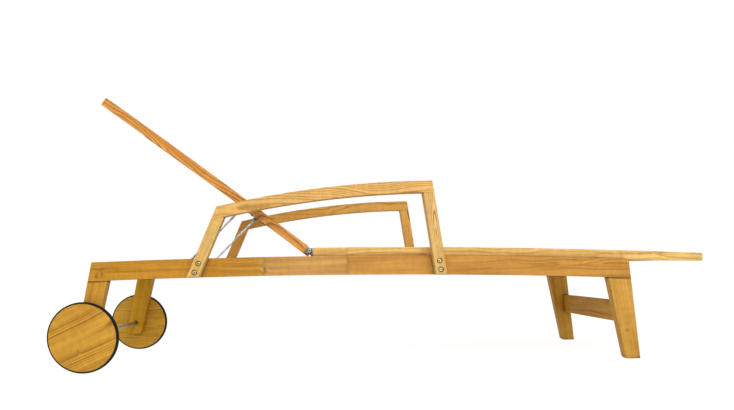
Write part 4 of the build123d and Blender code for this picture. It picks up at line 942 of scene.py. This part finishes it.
class LOUNGER_OT_studio(LoungerOperator):
    """Set up the pale floor, the soft lamps and the camera"""
    bl_idname = "lounger.studio"
    bl_label = "Studio"

    def execute(self, context):
        studio = context.scene.lounger_studio
        scene = context.scene
        scene.view_settings.view_transform = "Standard"

        # Floor: matt paper that the camera sees as nearly white, with the object's shadow on it
        bm = bmesh.new()
        bmesh.ops.create_grid(bm, x_segments=2, y_segments=2, size=FLOOR_HALF)
        mesh = bpy.data.meshes.new("studio_floor")
        bm.to_mesh(mesh)
        bm.free()
        floor = bpy.data.objects.new("studio_floor", mesh)
        scene.collection.objects.link(floor)
        floor.location = (0, 0, -FLOOR_DROP)
        material, add = new_material("matt_paper")
        paper = add("ShaderNodeBsdfDiffuse", inputs={"Color": (*studio.floor_colour, 1.0)})
        glow = add("ShaderNodeEmission", inputs={"Color": WHITE, "Strength": FLOOR_GLOW})
        share = add("ShaderNodeMath", seen_directly(add), FLOOR_GLOW_SHARE, operation="MULTIPLY")
        add("ShaderNodeOutputMaterial", add("ShaderNodeMixShader", share, paper, glow))
        mesh.materials.append(material)

        # Sky: even light on the object, and white behind it
        world = bpy.data.worlds.new("studio_sky")
        scene.world = world
        world.use_nodes = True
        world.node_tree.nodes.clear()
        add = partial(add_node, world.node_tree)
        strength = add(
            "ShaderNodeMath", seen_directly(add), 1.0 - studio.sky, studio.sky, operation="MULTIPLY_ADD",
        )
        add("ShaderNodeOutputWorld", add(
            "ShaderNodeBackground", inputs={"Color": WHITE, "Strength": strength},
        ))

        for name, (place, aim, size), power in (
            ("key_lamp", KEY_LAMP, studio.key_power), ("fill_lamp", FILL_LAMP, studio.fill_power),
        ):
            lamp = bpy.data.lights.new(name, "AREA")
            lamp.shape = "DISK"
            lamp.size = size
            lamp.energy = power
            item = bpy.data.objects.new(name, lamp)
            scene.collection.objects.link(item)
            item.location = place
            item.rotation_euler = (Vector(aim) - Vector(place)).to_track_quat("-Z", "Y").to_euler()

        # The camera stands level at the near side, a little turned about its own axis
        camera = bpy.data.cameras.new("side_view")
        camera.sensor_width = SENSOR_WIDTH
        camera.lens = SENSOR_WIDTH * studio.focal_pixels / IMAGE_WIDTH
        camera.shift_x, camera.shift_y = CAMERA_SHIFT
        item = bpy.data.objects.new("side_view", camera)
        scene.collection.objects.link(item)
        item.location = (CAMERA_X, -RAIL_Y - studio.distance, CAMERA_Z)
        item.rotation_euler = (math.pi / 2, math.radians(CAMERA_ROLL), 0)
        scene.camera = item
        return {"FINISHED"}


class LOUNGER_PT_panel(Panel):
    """Sizes, colours and steps of the lounger"""
    bl_idname = "LOUNGER_PT_panel"
    bl_label = "Teak sun lounger"
    bl_space_type = "VIEW_3D"
    bl_region_type = "UI"
    bl_category = "Lounger"

    def draw(self, context):
        layout = self.layout
        for title, group in GROUPS:
            box = layout.box()
            box.label(text=title)
            settings = getattr(context.scene, group)
            for name in settings.bl_rna.properties.keys():
                if name not in ("rna_type", "name"):
                    box.prop(settings, name)
        for step in STEPS:
            layout.operator(step.bl_idname)


GROUPS = (
    ("Wood", "lounger_wood"),
    ("Steel", "lounger_steel"),
    ("Wheels", "lounger_wheel"),
    ("Studio", "lounger_studio"),
)
SETTINGS = (LoungerWood, LoungerSteel, LoungerWheel, LoungerStudio)
STEPS = (
    LOUNGER_OT_frame, LOUNGER_OT_armrests, LOUNGER_OT_seat, LOUNGER_OT_back, LOUNGER_OT_fittings,
    LOUNGER_OT_wheels, LOUNGER_OT_studio,
)


def register():
    """Register the settings, the steps and the panel."""
    for item in (*SETTINGS, *STEPS, LOUNGER_PT_panel):
        bpy.utils.register_class(item)
    for (_, group), kind in zip(GROUPS, SETTINGS):
        setattr(bpy.types.Scene, group, PointerProperty(type=kind))


def unregister():
    """Take out what register put in."""
    for _, group in GROUPS:
        delattr(bpy.types.Scene, group)
    for item in (LOUNGER_PT_panel, *STEPS[::-1], *SETTINGS[::-1]):
        bpy.utils.unregister_class(item)


def main():
    """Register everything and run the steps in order."""
    register()
    for step in STEPS:
        group, name = step.bl_idname.split(".")
        getattr(getattr(bpy.ops, group), name)()


if __name__ == "__main__":
    main()
